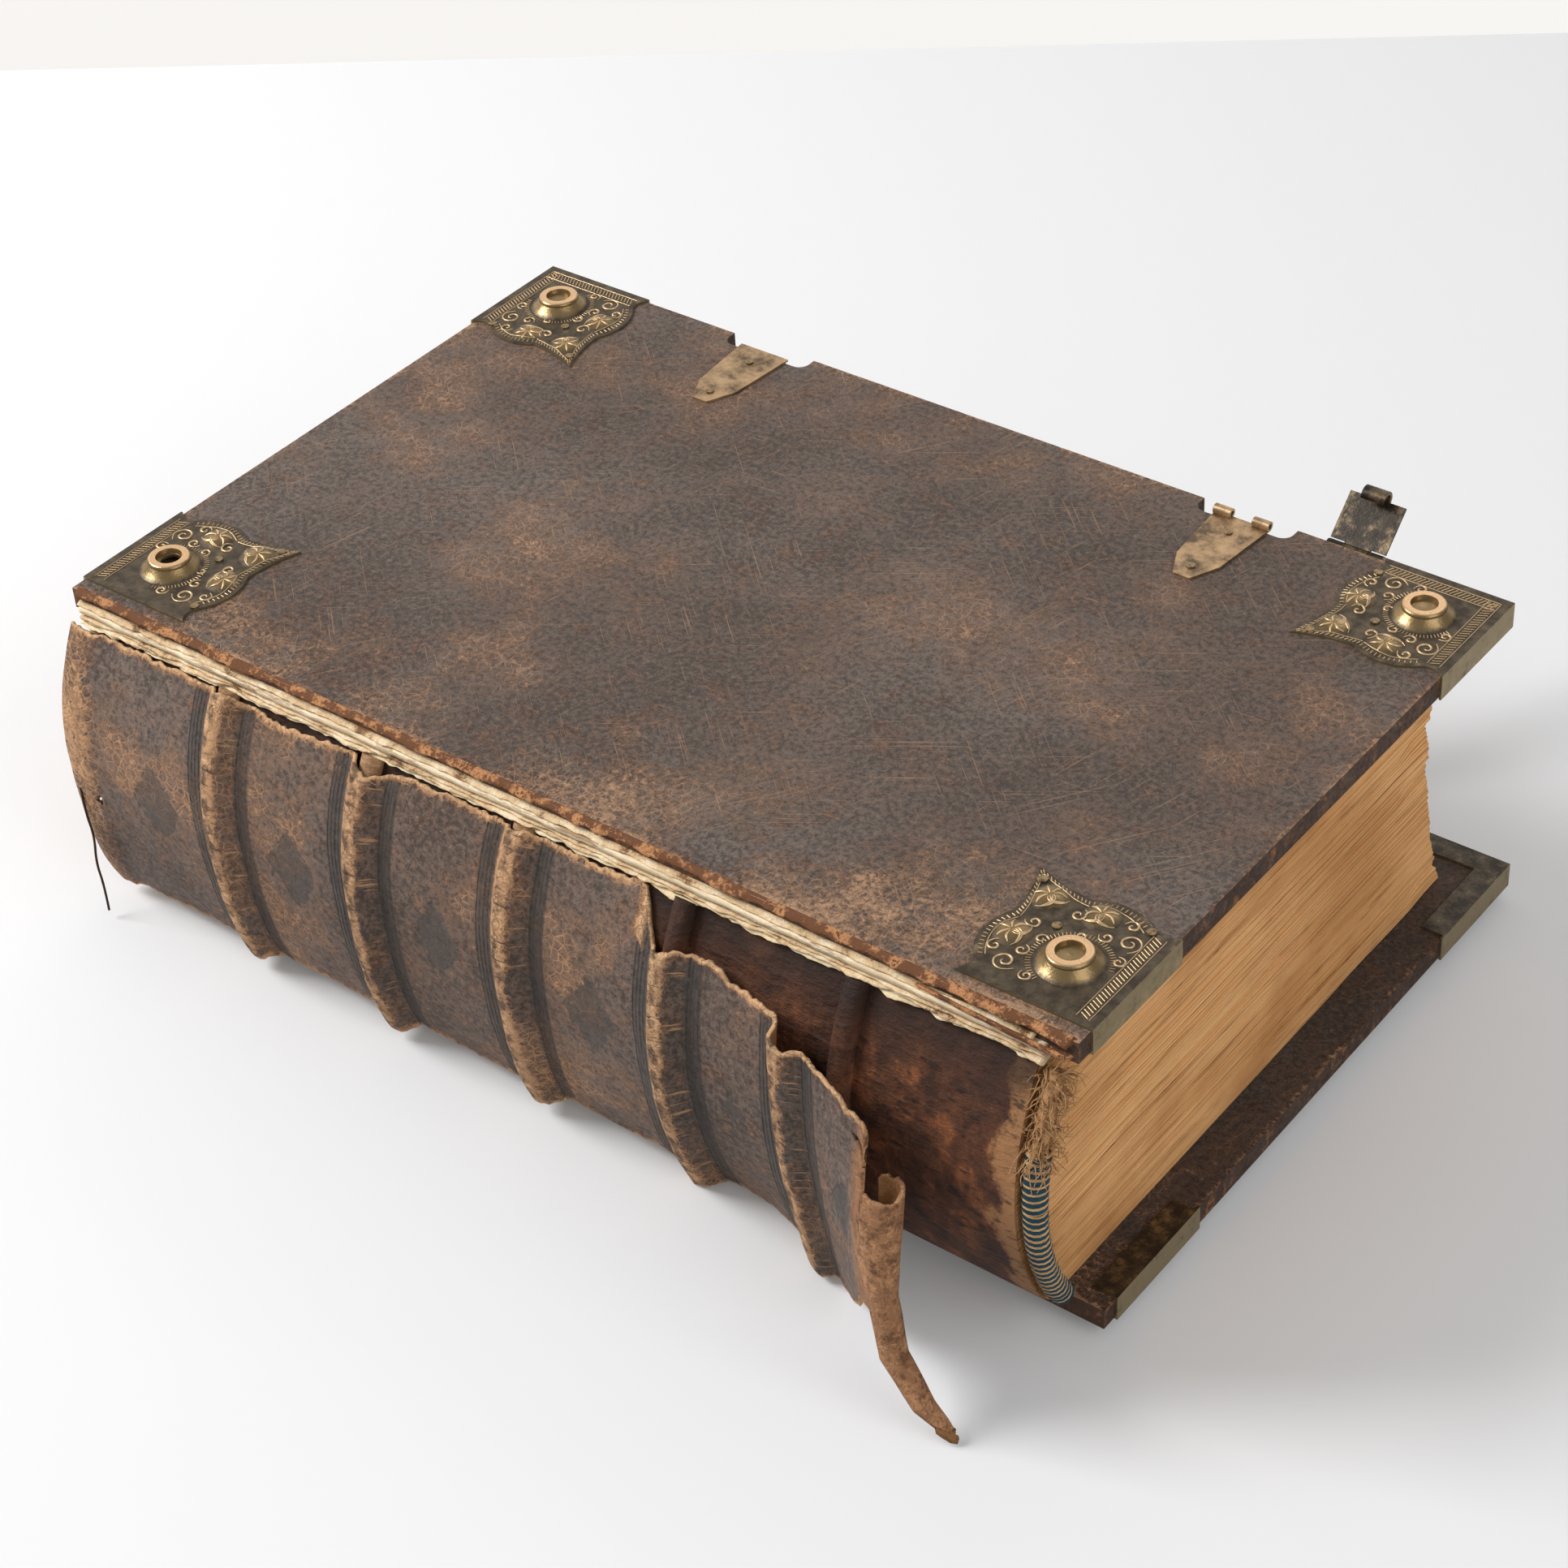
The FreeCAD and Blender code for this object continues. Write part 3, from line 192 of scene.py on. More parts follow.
def pale_stage(name, corners, lit, seen, seen_right):
    """A flat stage piece, see-through from behind. The camera and mirrors see a glow besides its
    lit colour, which drifts from seen at the left to seen_right."""
    made, tree, shader, where = new_finish(name + "_paint")
    shader.inputs["Base Color"].default_value = paint(lit)
    shader.inputs["Roughness"].default_value = 0.7
    shader.inputs["Specular IOR Level"].default_value = 0.2
    path = add(tree, "LightPath")
    rays = add(tree, "Math", {0: path.outputs["Is Camera Ray"], 1: path.outputs["Is Glossy Ray"]},
               operation="ADD")
    split = add(tree, "SeparateXYZ", {0: where})
    drift = add(tree, "MapRange", {"Value": split.outputs["X"], "From Min": -2.6, "From Max": 1.2,
                                   "To Min": seen, "To Max": seen_right})
    share = add(tree, "Math", {0: rays, 1: drift}, operation="MULTIPLY")
    glow = add(tree, "Emission", {"Color": (1, 1, 1, 1), "Strength": share})
    both = add(tree, "AddShader", {0: shader, 1: glow})
    behind = add(tree, "NewGeometry").outputs["Backfacing"]
    open_back = add(tree, "MixShader", {0: behind, 1: both, 2: add(tree, "BsdfTransparent")})
    out = next(n for n in tree.nodes if n.type == "OUTPUT_MATERIAL")
    tree.links.new(open_back.outputs[0], out.inputs["Surface"])
    bm = bmesh.new()
    bm.faces.new([bm.verts.new(c) for c in corners])
    piece = piece_from(name, bm, made, smooth=False)
    piece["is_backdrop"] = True
    return piece


far_left, far_right = (-3600, -1550), (1500, 1914)
table = pale_stage("table", [at(-2600, -2600, 0), at(2600, -2600, 0), at(*far_right, 0), at(*far_left, 0)],
                   "#cacacb", 0.10, 0.10)
wall = pale_stage("wall", [at(*far_left, -900), at(*far_right, -900), at(700, 3100, 2600),
                           at(-4300, -500, 2600)], "#c6c3bf", 0.0, 0.62)

# %% Light
world = bpy.data.worlds.new("studio")
bpy.context.scene.world = world
world.use_nodes = True
sky = world.node_tree
sky.nodes["Background"].inputs["Color"].default_value = (1.0, 1.0, 1.0, 1)
sky.nodes["Background"].inputs["Strength"].default_value = 0.44


def softbox(name, place, target, size, watts):
    """A square studio lamp behind cloth."""
    lamp = bpy.data.lights.new(name, "AREA")
    lamp.shape = "SQUARE"
    lamp.size = size
    lamp.energy = watts
    obj = bpy.data.objects.new(name, lamp)
    bpy.context.scene.collection.objects.link(obj)
    obj.location = place
    obj.rotation_euler = (Vector(target) - Vector(place)).to_track_quat("-Z", "Y").to_euler()
    return obj


key = softbox("key", (-1.7, -0.9, 1.7), (0, 0, 0.05), 1.0, 72)
fill = softbox("fill", (2.0, -0.4, 1.4), (0, 0, 0.05), 1.8, 24)
side = softbox("side", (-0.6, 1.9, 1.5), (0, 0, 0.1), 1.2, 14)
bpy.context.scene.view_settings.view_transform = "Standard"
print("lamps", [o.name for o in (key, fill, side)])

# %% [markdown]
# ## Old calf
# The covers are vegetable-tanned calf, stained nearly black. Two hundred years of hands and
# shelves have rubbed the stain back to a red brown, and to bare tan along the edges. One
# function lays these coats in order. It takes a mask of what is rubbed, so the same leather
# serves the covers and the spine. Grain is about 1 mm,
# flecks 2 mm, scuffs 11 mm and clouds 5 cm.

# %% Masks by place
def near(tree, axis, here, width, flat=0.0):
    """1 on a line across an axis and up to flat beside it, falling to 0 at width."""
    gap = add(tree, "Math", {0: axis, 1: here}, operation="SUBTRACT")
    gap = add(tree, "Math", {0: gap}, operation="ABSOLUTE")
    return add(tree, "MapRange", {"Value": gap, "From Min": flat, "From Max": width,
                                  "To Min": 1.0, "To Max": 0.0})


def level_face(tree):
    """1 where a face looks straight up or down, 0 where it stands upright."""
    facing = add(tree, "SeparateXYZ", {0: add(tree, "TexCoord").outputs["Normal"]})
    return add(tree, "Math", {0: facing.outputs["Z"]}, operation="ABSOLUTE")


# %% Coats of the leather
def calf(tree, shader, where, rubbed, shades, scratched=1.0, crazed=0.5, smooth=None):
    """Stain, haze, flecks, scratches, crazing and bare tan in that order; relief of the grain."""
    dark, mid, pale, warm, tan, bare = shades
    drift = add(tree, "TexNoise", {"Vector": where, "Scale": 1 / (7 * MM), "Detail": 3.0})
    shift = add(tree, "VectorMath", {0: drift.outputs["Color"], "Scale": 2 * MM}, operation="SCALE")
    bent = add(tree, "VectorMath", {0: where, 1: shift}, operation="ADD")
    clouds, haze, scuff, speck, grain = (
        add(tree, "TexNoise", {"Vector": place, "Scale": 1 / (size * MM), "Detail": detail, "Roughness": rough})
        for place, size, detail, rough in (
            (where, 48, 7.0, 0.62), (where, 110, 3.0, 0.5), (bent, 11, 9.0, 0.74),
            (bent, 2.0, 6.0, 0.75), (where, 0.8, 4.0, 0.65)))
    cells = add(tree, "TexVoronoi", {"Vector": bent, "Scale": 1 / (3.4 * MM)}, feature="DISTANCE_TO_EDGE")
    lines = 0.0
    for degrees, long, thin, level in ((33, 40, 0.55, 0.86), (-42, 30, 0.5, 0.87), (76, 34, 0.55, 0.87),
                                       (4, 22, 0.5, 0.88), (54, 95, 0.7, 0.88)):
        turned = add(tree, "Mapping", {
            "Vector": where, "Location": (degrees * 0.013, 0.021 * degrees, 0),
            "Rotation": (0, 0, math.radians(degrees)), "Scale": (long * MM, thin * MM, 60 * MM)},
            vector_type="TEXTURE")
        strand = add(tree, "TexNoise", {"Vector": turned, "Scale": 1.0, "Detail": 1.0})
        group = add(tree, "TexNoise", {"Vector": where, "W": degrees * 0.3, "Scale": 1 / (45 * MM),
                                       "Detail": 3.0}, noise_dimensions="4D")
        cut = add(tree, "MapRange", {"Value": summed(tree, strand, (group, 0.34)), "From Min": level,
                                     "From Max": level + 0.05})
        lines = add(tree, "Math", {0: lines, 1: cut}, operation="MAXIMUM")
    net = add(tree, "MapRange", {"Value": cells, "From Min": 0.0, "From Max": 0.10,
                                 "To Min": 0.8, "To Max": 0.0})
    net = add(tree, "Math", {0: net, 1: near(tree, scuff, 0.52, 0.014, 0.004)}, operation="MAXIMUM")
    zone = add(tree, "MapRange", {"Value": summed(tree, clouds, (rubbed, 0.4)), "From Min": 0.50,
                                  "From Max": 0.64})
    net = add(tree, "Math", {0: net, 1: zone}, operation="MULTIPLY")
    worn = summed(tree, scuff, (rubbed, 0.35))
    stain = summed(tree, speck, (clouds, 0.35))
    flecks = summed(tree, speck, (clouds, 0.9), (scuff, 0.5), (rubbed, 0.45))
    chips = add(tree, "MapRange", {"Value": flecks, "From Min": 1.35, "From Max": 1.48, "To Min": 0.0,
                                   "To Max": 0.85})
    bald = summed(tree, rubbed, (scuff, 1.1), (speck, 0.5))
    ironed = [] if smooth is None else [("#45423f", smooth, 0.0, 1.0, 0.8)]
    pressed = [] if smooth is None else [(smooth, -0.8)]
    tone = coats(tree, paint(mid), (pale, haze, 0.42, 0.66, 0.75), (warm, clouds, 0.46, 0.66, 0.6),
                 (warm, worn, 0.53, 0.64, 0.75), (dark, stain, 0.73, 0.57, 0.72), (tan, chips, 0.0, 1.0),
                 (tan, speck, 0.62, 0.70, 0.5), ("#231c18", grain, 0.40, 0.30, 0.6),
                 (tan, lines, 0.0, 1.0, 0.8 * scratched), (tan, net, 0.15, 0.8, crazed),
                 (tan, bald, 1.34, 1.50, 0.9), (bare, bald, 1.50, 1.70, 0.95), *ironed)
    height = summed(tree, speck, (grain, 0.5), (scuff, 1.2), (chips, -0.5), (lines, -0.5 * scratched),
                    (net, -0.4), *pressed)
    relief = add(tree, "Bump", {"Strength": 1.0, "Distance": 0.0010, "Height": height})
    dull = add(tree, "MapRange", {"Value": worn, "From Min": 0.40, "From Max": 0.75,
                                  "To Min": 0.46, "To Max": 0.72})
    join(tree, shader, tone, relief, dull, 0.25)
    shader.inputs["IOR"].default_value = 1.5
    return tone, relief


# %% Leather of the covers, rubbed along its edges
def cover_leather(name, part, shades, scratched):
    """Calf over a board: bare at the corners and edges, crazed towards the joint."""
    made, tree, shader, where = new_finish(name)
    low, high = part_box(part)
    split = add(tree, "SeparateXYZ", {0: where})
    wide = near(tree, split.outputs["Y"], low.y, 66 * MM)
    patch = add(tree, "TexNoise", {"Vector": where, "Scale": 1 / (70 * MM), "Detail": 2.0})
    zone = add(tree, "MapRange", {"Value": patch, "From Min": 0.40, "From Max": 0.62,
                                  "To Min": 0.05, "To Max": 0.45})
    rubbed = add(tree, "Math", {0: wide, 1: zone}, operation="MULTIPLY")
    for axis, here, width, most in (("X", low.x, 2.2, 0.42), ("X", high.x, 2.2, 0.42), ("Y", high.y, 2.2, 0.42),
                                    ("Y", low.y, 6.0, 0.72)):
        edge = near(tree, split.outputs[axis], here, width * MM)
        edge = add(tree, "Math", {0: edge, 1: most}, operation="MULTIPLY")
        rubbed = add(tree, "Math", {0: rubbed, 1: edge}, operation="MAXIMUM")
    tone, relief = calf(tree, shader, where, rubbed, (*shades, "#b08b6d", "#c08a5c"), scratched)
    # Faces that stand upright, the edges of the board, are darkened to a red brown with #3d281e: painted shade.
    # The tan patches laid on them are wear.
    upright = add(tree, "MapRange", {"Value": level_face(tree), "From Min": 0.25, "From Max": 0.7,
                                     "To Min": 1.0, "To Max": 0.0})
    worn = add(tree, "TexNoise", {"Vector": where, "Scale": 1 / (6 * MM), "Detail": 5.0, "Roughness": 0.7})
    worn = add(tree, "Math", {0: worn, 1: upright}, operation="MULTIPLY")
    tone = coats(tree, tone, ("#3d281e", upright, 0.0, 1.0, 0.8), ("#a06a42", worn, 0.56, 0.66, 0.8))
    tree.links.new(tone.outputs[2], shader.inputs["Base Color"])
    print(name, "from", [round(v * 1000, 1) for v in low], "to", [round(v * 1000, 1) for v in high])
    return made


cover_calf = cover_leather("vegetable_tanned_calf_upper", "upper_board_leather",
                           ("#2b2421", "#64554b", "#786d65", "#775948"), 0.6)
lower_calf = cover_leather("vegetable_tanned_calf_lower", "lower_board_leather",
                           ("#231b18", "#4f4037", "#564b43", "#64452f"), 0.15)

# %% [markdown]
# ## Brass, wood, paper and thread
# The fittings are cast and rolled brass. Wax and air have turned them almost black, and the
# metal shines only on rims and raised lines. The clasp was handled more, so it stays yellower.
# Under the torn leather are pulp-grey wood, glued linings and the linen of the cords.

# %% Brass
def old_brass(name, deep, dull, bright, shine, size=7.0, polished=None):
    """Patinated brass: dark film, duller patches and bare metal. Polished holds three heights in
    millimetres: where rubbing starts, where it is full, and the crest that shines."""
    made, tree, shader, where = new_finish(name)
    film = add(tree, "TexNoise", {"Vector": where, "Scale": 1 / (size * MM), "Detail": 8.0, "Roughness": 0.7})
    fine = add(tree, "TexNoise", {"Vector": where, "Scale": 1 / (0.9 * MM), "Detail": 3.0})
    rubbed = summed(tree, film, (add(tree, "NewGeometry").outputs["Pointiness"], 2.0))
    tone = coats(tree, paint(deep), (dull, film, 0.40, 0.64), (bright, rubbed, 1.66 - shine, 1.96 - shine, 0.9))
    rough = add(tree, "MapRange", {"Value": rubbed, "From Min": 1.4, "From Max": 2.0,
                                   "To Min": 0.52, "To Max": 0.36})
    if polished is not None:
        start, full, crest = (height * MM for height in polished)
        rise = full - start
        height = add(tree, "SeparateXYZ", {0: where}).outputs["Z"]
        gold = add(tree, "MapRange", {"Value": summed(tree, height, (film, 1.2 * rise)),
                                      "From Min": start + 0.6 * rise, "From Max": full + 0.6 * rise,
                                      "To Min": 0.0, "To Max": 0.8})
        # Upright sides are lightened with #9a8862: partly rubbed metal, partly a painted highlight.
        fold = summed(tree, film, (level_face(tree), -1.0))
        tone = coats(tree, tone, ("#8f7750", gold, 0.0, 1.0),
                     ("#dcb488", height, crest, crest + 0.25 * rise, 0.9), ("#9a8862", fold, 0.20, 0.45, 0.7))
        rough = summed(tree, rough, (gold, -0.24))
    shader.inputs["Metallic"].default_value = 0.8
    relief = add(tree, "Bump", {"Strength": 0.3, "Distance": 0.0003, "Height": fine})
    join(tree, shader, tone, relief, rough, 0.5)
    return made


fitting_brass = old_brass("cast_brass_dark_patina", "#40372d", "#625645", "#b39b74", -0.05, 5.0,
                          (125.9, 126.9, 129.9))
lower_brass = old_brass("cast_brass_lower_patina", "#332d26", "#564c3e", "#9c875f", -0.12, 5.0,
                        (4.2, 3.4, -20.0))
catch_brass = old_brass("rolled_brass_handled", "#65533f", "#a58764", "#c3a37c", 0.05, 9.0)
strap_brass = old_brass("rolled_brass_blackened", "#2d2823", "#3d362f", "#8a7654", -0.08)
nail_iron = old_brass("brass_nail_heads", "#3b332b", "#6e6049", "#a58b64", 0.1, 2.0)
scroll_brass = old_brass("brass_relief_rubbed", "#6e5c47", "#9b8260", "#cfb28a", 0.25, 4.0)

# %% Paper, wood, linen and flesh side
def dry_stuff(name, ground, patches, size, rough=0.85, bumps=0.0005, stretch=(1, 1, 1), fine=1.0):
    """A dull dry stuff: a ground colour, patches over it, and fibres as fine bumps."""
    made, tree, shader, where = new_finish(name)
    pulled = add(tree, "Mapping", {"Vector": where, "Scale": stretch})
    big = add(tree, "TexNoise", {"Vector": pulled, "Scale": 1 / (size * MM), "Detail": 6.0, "Roughness": 0.65})
    small = add(tree, "TexNoise", {"Vector": pulled, "Scale": 1 / (fine * MM), "Detail": 4.0})
    mixed = summed(tree, big, (small, 0.25))
    tone = coats(tree, paint(ground), *((code, mixed, *ends) for code, *ends in patches))
    relief = add(tree, "Bump", {"Strength": 0.8, "Distance": bumps, "Height": summed(tree, big, (small, 1.0))})
    join(tree, shader, tone, relief, rough, 0.2)
    return made


wood = dry_stuff("sawn_beech_board", "#8a6a47", [("#5d4028", 0.55, 0.75, 0.8)], 14, stretch=(0.12, 1, 1))
rag_paper = dry_stuff("handmade_rag_paper", "#e3d2b0",
                      [("#c7aa78", 0.55, 0.8, 0.7), ("#8e6a40", 0.78, 0.9, 0.7)], 18)
guard_paper = dry_stuff("torn_paper_guard", "#e3cfae",
                        [("#c4a379", 0.52, 0.64, 0.8), ("#6b4629", 0.68, 0.78, 0.9)], 11, fine=0.7)
torn_calf = dry_stuff("torn_edge_of_calf", "#63402a",
                      [("#b98458", 0.62, 0.72, 0.9), ("#3f2415", 0.72, 0.80, 0.9)], 7, fine=0.8)
board_edge = dry_stuff("pasted_board_edge", "#d3bd9b",
                       [("#ead8b9", 0.50, 0.62, 0.9), ("#8a6540", 0.64, 0.74, 0.8)], 14,
                       stretch=(0.4, 1, 2.0), fine=0.9)
flesh = dry_stuff("flesh_side_of_calf", "#6e4a2e",
                  [("#8f6740", 0.5, 0.7, 0.8), ("#4a2f1e", 0.72, 0.85, 0.7)], 12)
linen = dry_stuff("linen_cord", "#b89470", [("#8a6748", 0.5, 0.7, 0.8)], 3, stretch=(1, 1, 3), fine=0.5)
straw = dry_stuff("frayed_hemp_fibre", "#bd9266", [("#8a6540", 0.55, 0.7, 0.7)], 4, fine=0.4)
teal_silk = dry_stuff("teal_silk_thread", "#12303e", [("#1f4450", 0.5, 0.75, 0.7)], 3,
                      rough=0.6, fine=0.3, bumps=0.0002)
cream_silk = dry_stuff("cream_linen_thread", "#bd9a6c", [("#94734b", 0.55, 0.75, 0.7)], 3,
                       rough=0.75, fine=0.3, bumps=0.0002)
old_thread = dry_stuff("waxed_sewing_thread", "#2e1f16", [("#4a3322", 0.5, 0.7, 0.7)], 2,
                       fine=0.3, bumps=0.0001)

# %% Lining of the back, where the leather has gone
lining_stuff, tree, shader, where = new_finish("glued_spine_lining")
split = add(tree, "SeparateXYZ", {0: where})
layers = add(tree, "Mapping", {"Vector": where, "Scale": (1.1, 1.0, 0.8)})
torn = add(tree, "TexNoise", {"Vector": layers, "Scale": 1 / (13 * MM), "Detail": 9.0, "Roughness": 0.72})
shreds = add(tree, "Mapping", {"Vector": where, "Scale": (1 / (7 * MM), 1 / (5 * MM), 1 / (2.4 * MM))})
shreds = add(tree, "TexNoise", {"Vector": shreds, "Scale": 1.0, "Detail": 5.0, "Roughness": 0.65})
tail_end = summed(tree, near(tree, split.outputs["X"], at(190, 0, 0).x, 26 * MM), (torn, 1.3))
# The lining is darkened towards its top, under the overhanging joint, with #22120a: painted shade.
top = summed(tree, near(tree, split.outputs["Z"], at(0, 0, 116).z, 34 * MM), (torn, 0.8))
tone = coats(tree, paint("#3b2115"), ("#5c3620", torn, 0.40, 0.52), ("#8a5331", torn, 0.53, 0.62, 0.9),
             ("#b98a60", torn, 0.66, 0.74, 0.8), ("#a8784f", shreds, 0.70, 0.76, 0.7),
             ("#a87a50", tail_end, 1.24, 1.40, 0.8), ("#1d0f08", shreds, 0.56, 0.64, 0.75),
             ("#22120a", top, 0.85, 1.15, 0.8))
relief = add(tree, "Bump", {"Strength": 1.0, "Distance": 0.0022, "Height": summed(tree, torn, (shreds, 0.6))})
join(tree, shader, tone, relief, 0.62, 0.3)

# %% [markdown]
# ## Which finish goes where
# Each part of the frame is its own object already. A part whose shape is right keeps it, and
# only takes its finish here. The others are replaced by a worked piece further down.

# %% Finishes of the frame's parts
def dress(names, finish):
    """Gives one finish to some parts of the frame."""
    for name in names:
        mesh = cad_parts[name].data
        mesh.materials.clear()
        mesh.materials.append(finish)


corners = ["tail_fore", "tail_spine", "head_fore", "head_spine"]
dress(["upper_board_leather"], cover_calf)
dress(["lower_board_leather"], lower_calf)
dress(["upper_board", "lower_board"], wood)
dress(["upper_pastedown", "lower_pastedown", "upper_flyleaf", "lower_flyleaf", "page_block"], rag_paper)
dress(["upper_fitting_" + place for place in corners], fitting_brass)
dress(["lower_fitting_" + place for place in corners], lower_brass)
dress(["catch_plate_tail", "catch_plate_head"], catch_brass)
dress(["clasp_anchor_tail", "clasp_anchor_head", "clasp_strap", "clasp_hook_plate"], strap_brass)
dress(["anchor_hinge_pins", "clasp_bar_pin"], catch_brass)
dress(["upper_fitting_nails", "lower_fitting_nails", "catch_nails", "clasp_anchor_nails"], nail_iron)
dress(["spine_lining"], lining_stuff)
dress(["raised_cord_%d" % n for n in (1, 2, 3)], linen)
dress(["raised_cord_4", "raised_cord_5"], lining_stuff)
dress(["tail_endband", "head_endband"], teal_silk)
dress(["tail_endband_core"], straw)
dress(["joint_guard"], guard_paper)
dress(["spine_leather"], flesh)
dress(["loose_thread"], old_thread)
print(len(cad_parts), "parts dressed")

# %% [markdown]
# ## The leather of the spine
# One skin was drawn wet over the cords. Now it is torn from the upper cover, split beside the
# fourth band, and its tail hangs loose and has curled into a horn. A cloth simulation would not
# know where it tore, so the skin starts as a flat grid, and each of its points is laid on the
# back of the leaves, on the loose flap or round the horn. Lines across the book drive it.

# %% Where the skin lies
LEATHER = 1.3
mid_z, back_r, axis_y = 65.1, 89.2, 69.62
bands = (-127.2, -64.0, -0.8, 62.4, 113.0)


def back_of(z):
    """Outer face of the glued skin at height z, in the book's millimetres."""
    reach = back_r + 2.5
    drop = max(0.0, (mid_z - z) / 51.8)
    return axis_y - math.sqrt(reach * reach - (z - mid_z) ** 2) - 9.0 * drop * drop


# Along the skin, foot, belly and torn top of the flap.
flap = [(55, (55, -10, 1.1), (55, -23.4), (55, -16.3, 100)),
        (62.4, (62.4, -9.5, 1.1), (62.4, -23.4), (62.4, -16.5, 103.5)),
        (77, (77, -9, 1.1), (77, -23), (77, -17, 104.5)),
        (91, (91, -10.5, 1.1), (91, -23.5), (91, -18.5, 101)),
        (104, (105, -15, 1.1), (104, -24.4), (104, -22, 100)),
        (113, (119, -20, 1.6), (113, -26), (112, -26, 98)),
        (127, (130, -27, 4), (126, -31.5), (125, -30, 96.5)),
        (142, (142, -36.5, 12), (140, -39.5), (139, -35, 94)),
        (153, (153, -45, 24), (150.5, -46.5), (150, -38.5, 90))]
# Middle line and radius of the horn, from its point on the table to its mouth.
horn = [(188.3, -54, 3.2, 1.0), (184.8, -55, 6.4, 2.9), (178.8, -55, 10.5, 4.2), (167.5, -53, 23.5, 4.9),
        (162.5, -50, 41.8, 4.9), (160, -46.5, 60.5, 6.4), (158.1, -42, 77, 7.0)]
inward = Vector((0.6, 0.8, 0))
HORN_START, HORN_STEP = 157.0, 3.575
SKIN_FOOT, SKIN_TOP = 5.6, 113.4


def bow(first, middle, last, t):
    """A point of the even curve through three points, t of the way along it."""
    a, b, c = (1 - t) * (1 - 2 * t), 4 * t * (1 - t), t * (2 * t - 1)
    return [a * p + b * q + c * r for p, q, r in zip(first, middle, last)]


def on_panel(x, share):
    """A point of the glued skin, at a share of the way up."""
    z = SKIN_FOOT + (SKIN_TOP - SKIN_FOOT) * share
    return Vector((x, back_of(z), z))


def horn_at(share):
    """Middle and radius of the horn at a share of its length."""
    spans = [math.dist(a[:3], b[:3]) for a, b in zip(horn, horn[1:])]
    left = min(max(share, 0.0), 1.0) * sum(spans)
    for a, b, span in zip(horn, horn[1:], spans):
        if left <= span + 1e-9:
            mixed = [p + (q - p) * left / span for p, q in zip(a, b)]
            return Vector(mixed[:3]), mixed[3]
        left -= span
    return Vector(horn[-1][:3]), horn[-1][3]


def column(index, share):
    """A point of one driving line, at a share of the way from its foot to its top."""
    if index < 0:
        return on_panel(48 + (index + 1) * 12, share)
    if index < len(flap):
        u, low, belly, high = flap[index]
        x, y = bow(low[:2], belly, high[:2], share)
        return Vector((x, y, low[2] + (high[2] - low[2]) * share))
    turned = math.radians(-25 + 32.5 * (index - len(flap)))
    middle, radius = horn_at(share)
    along = Vector((inward.y, -inward.x, 0))
    arm = along * math.sin(turned) - inward * math.cos(turned)
    return middle + arm * radius * (1 - 0.3 * math.degrees(turned) / 360)


lines_at = [24, 36, 48] + [f[0] for f in flap] + [HORN_START + HORN_STEP * n for n in range(11)]


def skin_at(u, share):
    """The skin without its bands: u millimetres along it, share of the way up."""
    if u <= 42:
        return on_panel(u, share)
    i = max(k for k in range(len(lines_at) - 1) if lines_at[k] <= u)
    i = min(max(i, 1), len(lines_at) - 3)
    t = (u - lines_at[i]) / (lines_at[i + 1] - lines_at[i])
    p = [column(k - 3, share) for k in (i - 1, i, i + 1, i + 2)]
    gap = [lines_at[k + 1] - lines_at[k] for k in (i - 1, i, i + 1)]
    m1 = (p[2] - p[0]) * (gap[1] / (gap[0] + gap[1]))
    m2 = (p[3] - p[1]) * (gap[1] / (gap[1] + gap[2]))
    t2, t3 = t * t, t * t * t
    return p[1] * (2 * t3 - 3 * t2 + 1) + m1 * (t3 - 2 * t2 + t) + p[2] * (3 * t2 - 2 * t3) + m2 * (t3 - t2)


print("middle of the third panel", [round(v, 1) for v in skin_at(30, 0.5)])

# %% Bands, wear and torn edges
END = 190.0


def wander(seed, *place):
    """Smooth random number of about -1 to 1."""
    return noise.noise(Vector(place + (0,) * (3 - len(place))) + Vector((seed * 7.3, seed * 3.1, seed * 11.7)))


def band_gap(u):
    """Signed distance along the skin to the nearest band."""
    return min((u - b for b in bands), key=abs)


def rise_at(u, share):
    """How far the skin stands out over a cord, with the puckers beside it."""
    gap = band_gap(u)
    wide = 5.6 + 0.4 * wander(1, u * 0.01, share * 3)
    hump = 5.3 * math.exp(-abs(gap / wide) ** 3.2)
    crease = -0.35 * math.exp(-((abs(gap) - 8.6) / 1.6) ** 2)
    fade = 1.0 if u < 150 else max(0.0, 1 - (u - 150) / 8)
    cap = 1.6 * math.exp(-abs((u + 193) / 6.5) ** 3) * (0.8 + 0.3 * wander(2, share * 9))
    cockle = 0.5 * wander(3, u * 0.03, share * 2.2) + 0.22 * wander(4, u * 0.12, share * 9)
    pleat = 0.22 * wander(5, u * 0.05, share * 60) * math.exp(-(gap / 7) ** 2)
    return (hump + crease) * fade + cap + cockle + pleat


def top_of(u):
    """Share of the height at which the skin is torn off."""
    rag = 0.010 * wander(6, u * 0.25) + 0.007 * wander(7, u * 0.9)
    dip = 0.035 * math.exp(-((u + 62) / 7) ** 2) + 0.02 * math.exp(-((u + 100) / 15) ** 2)
    if u < 48:
        return 0.992 + rag - dip
    return 0.985 + rag * 1.6


def foot_of(u):
    """Share of the height at which its lower edge ends; it hangs in rags below some bands."""
    rag = 0.014 * wander(8, u * 0.2) + 0.012 * wander(9, u * 0.7)
    return max(0.0, 0.012 + rag) if u < 150 else 0.0


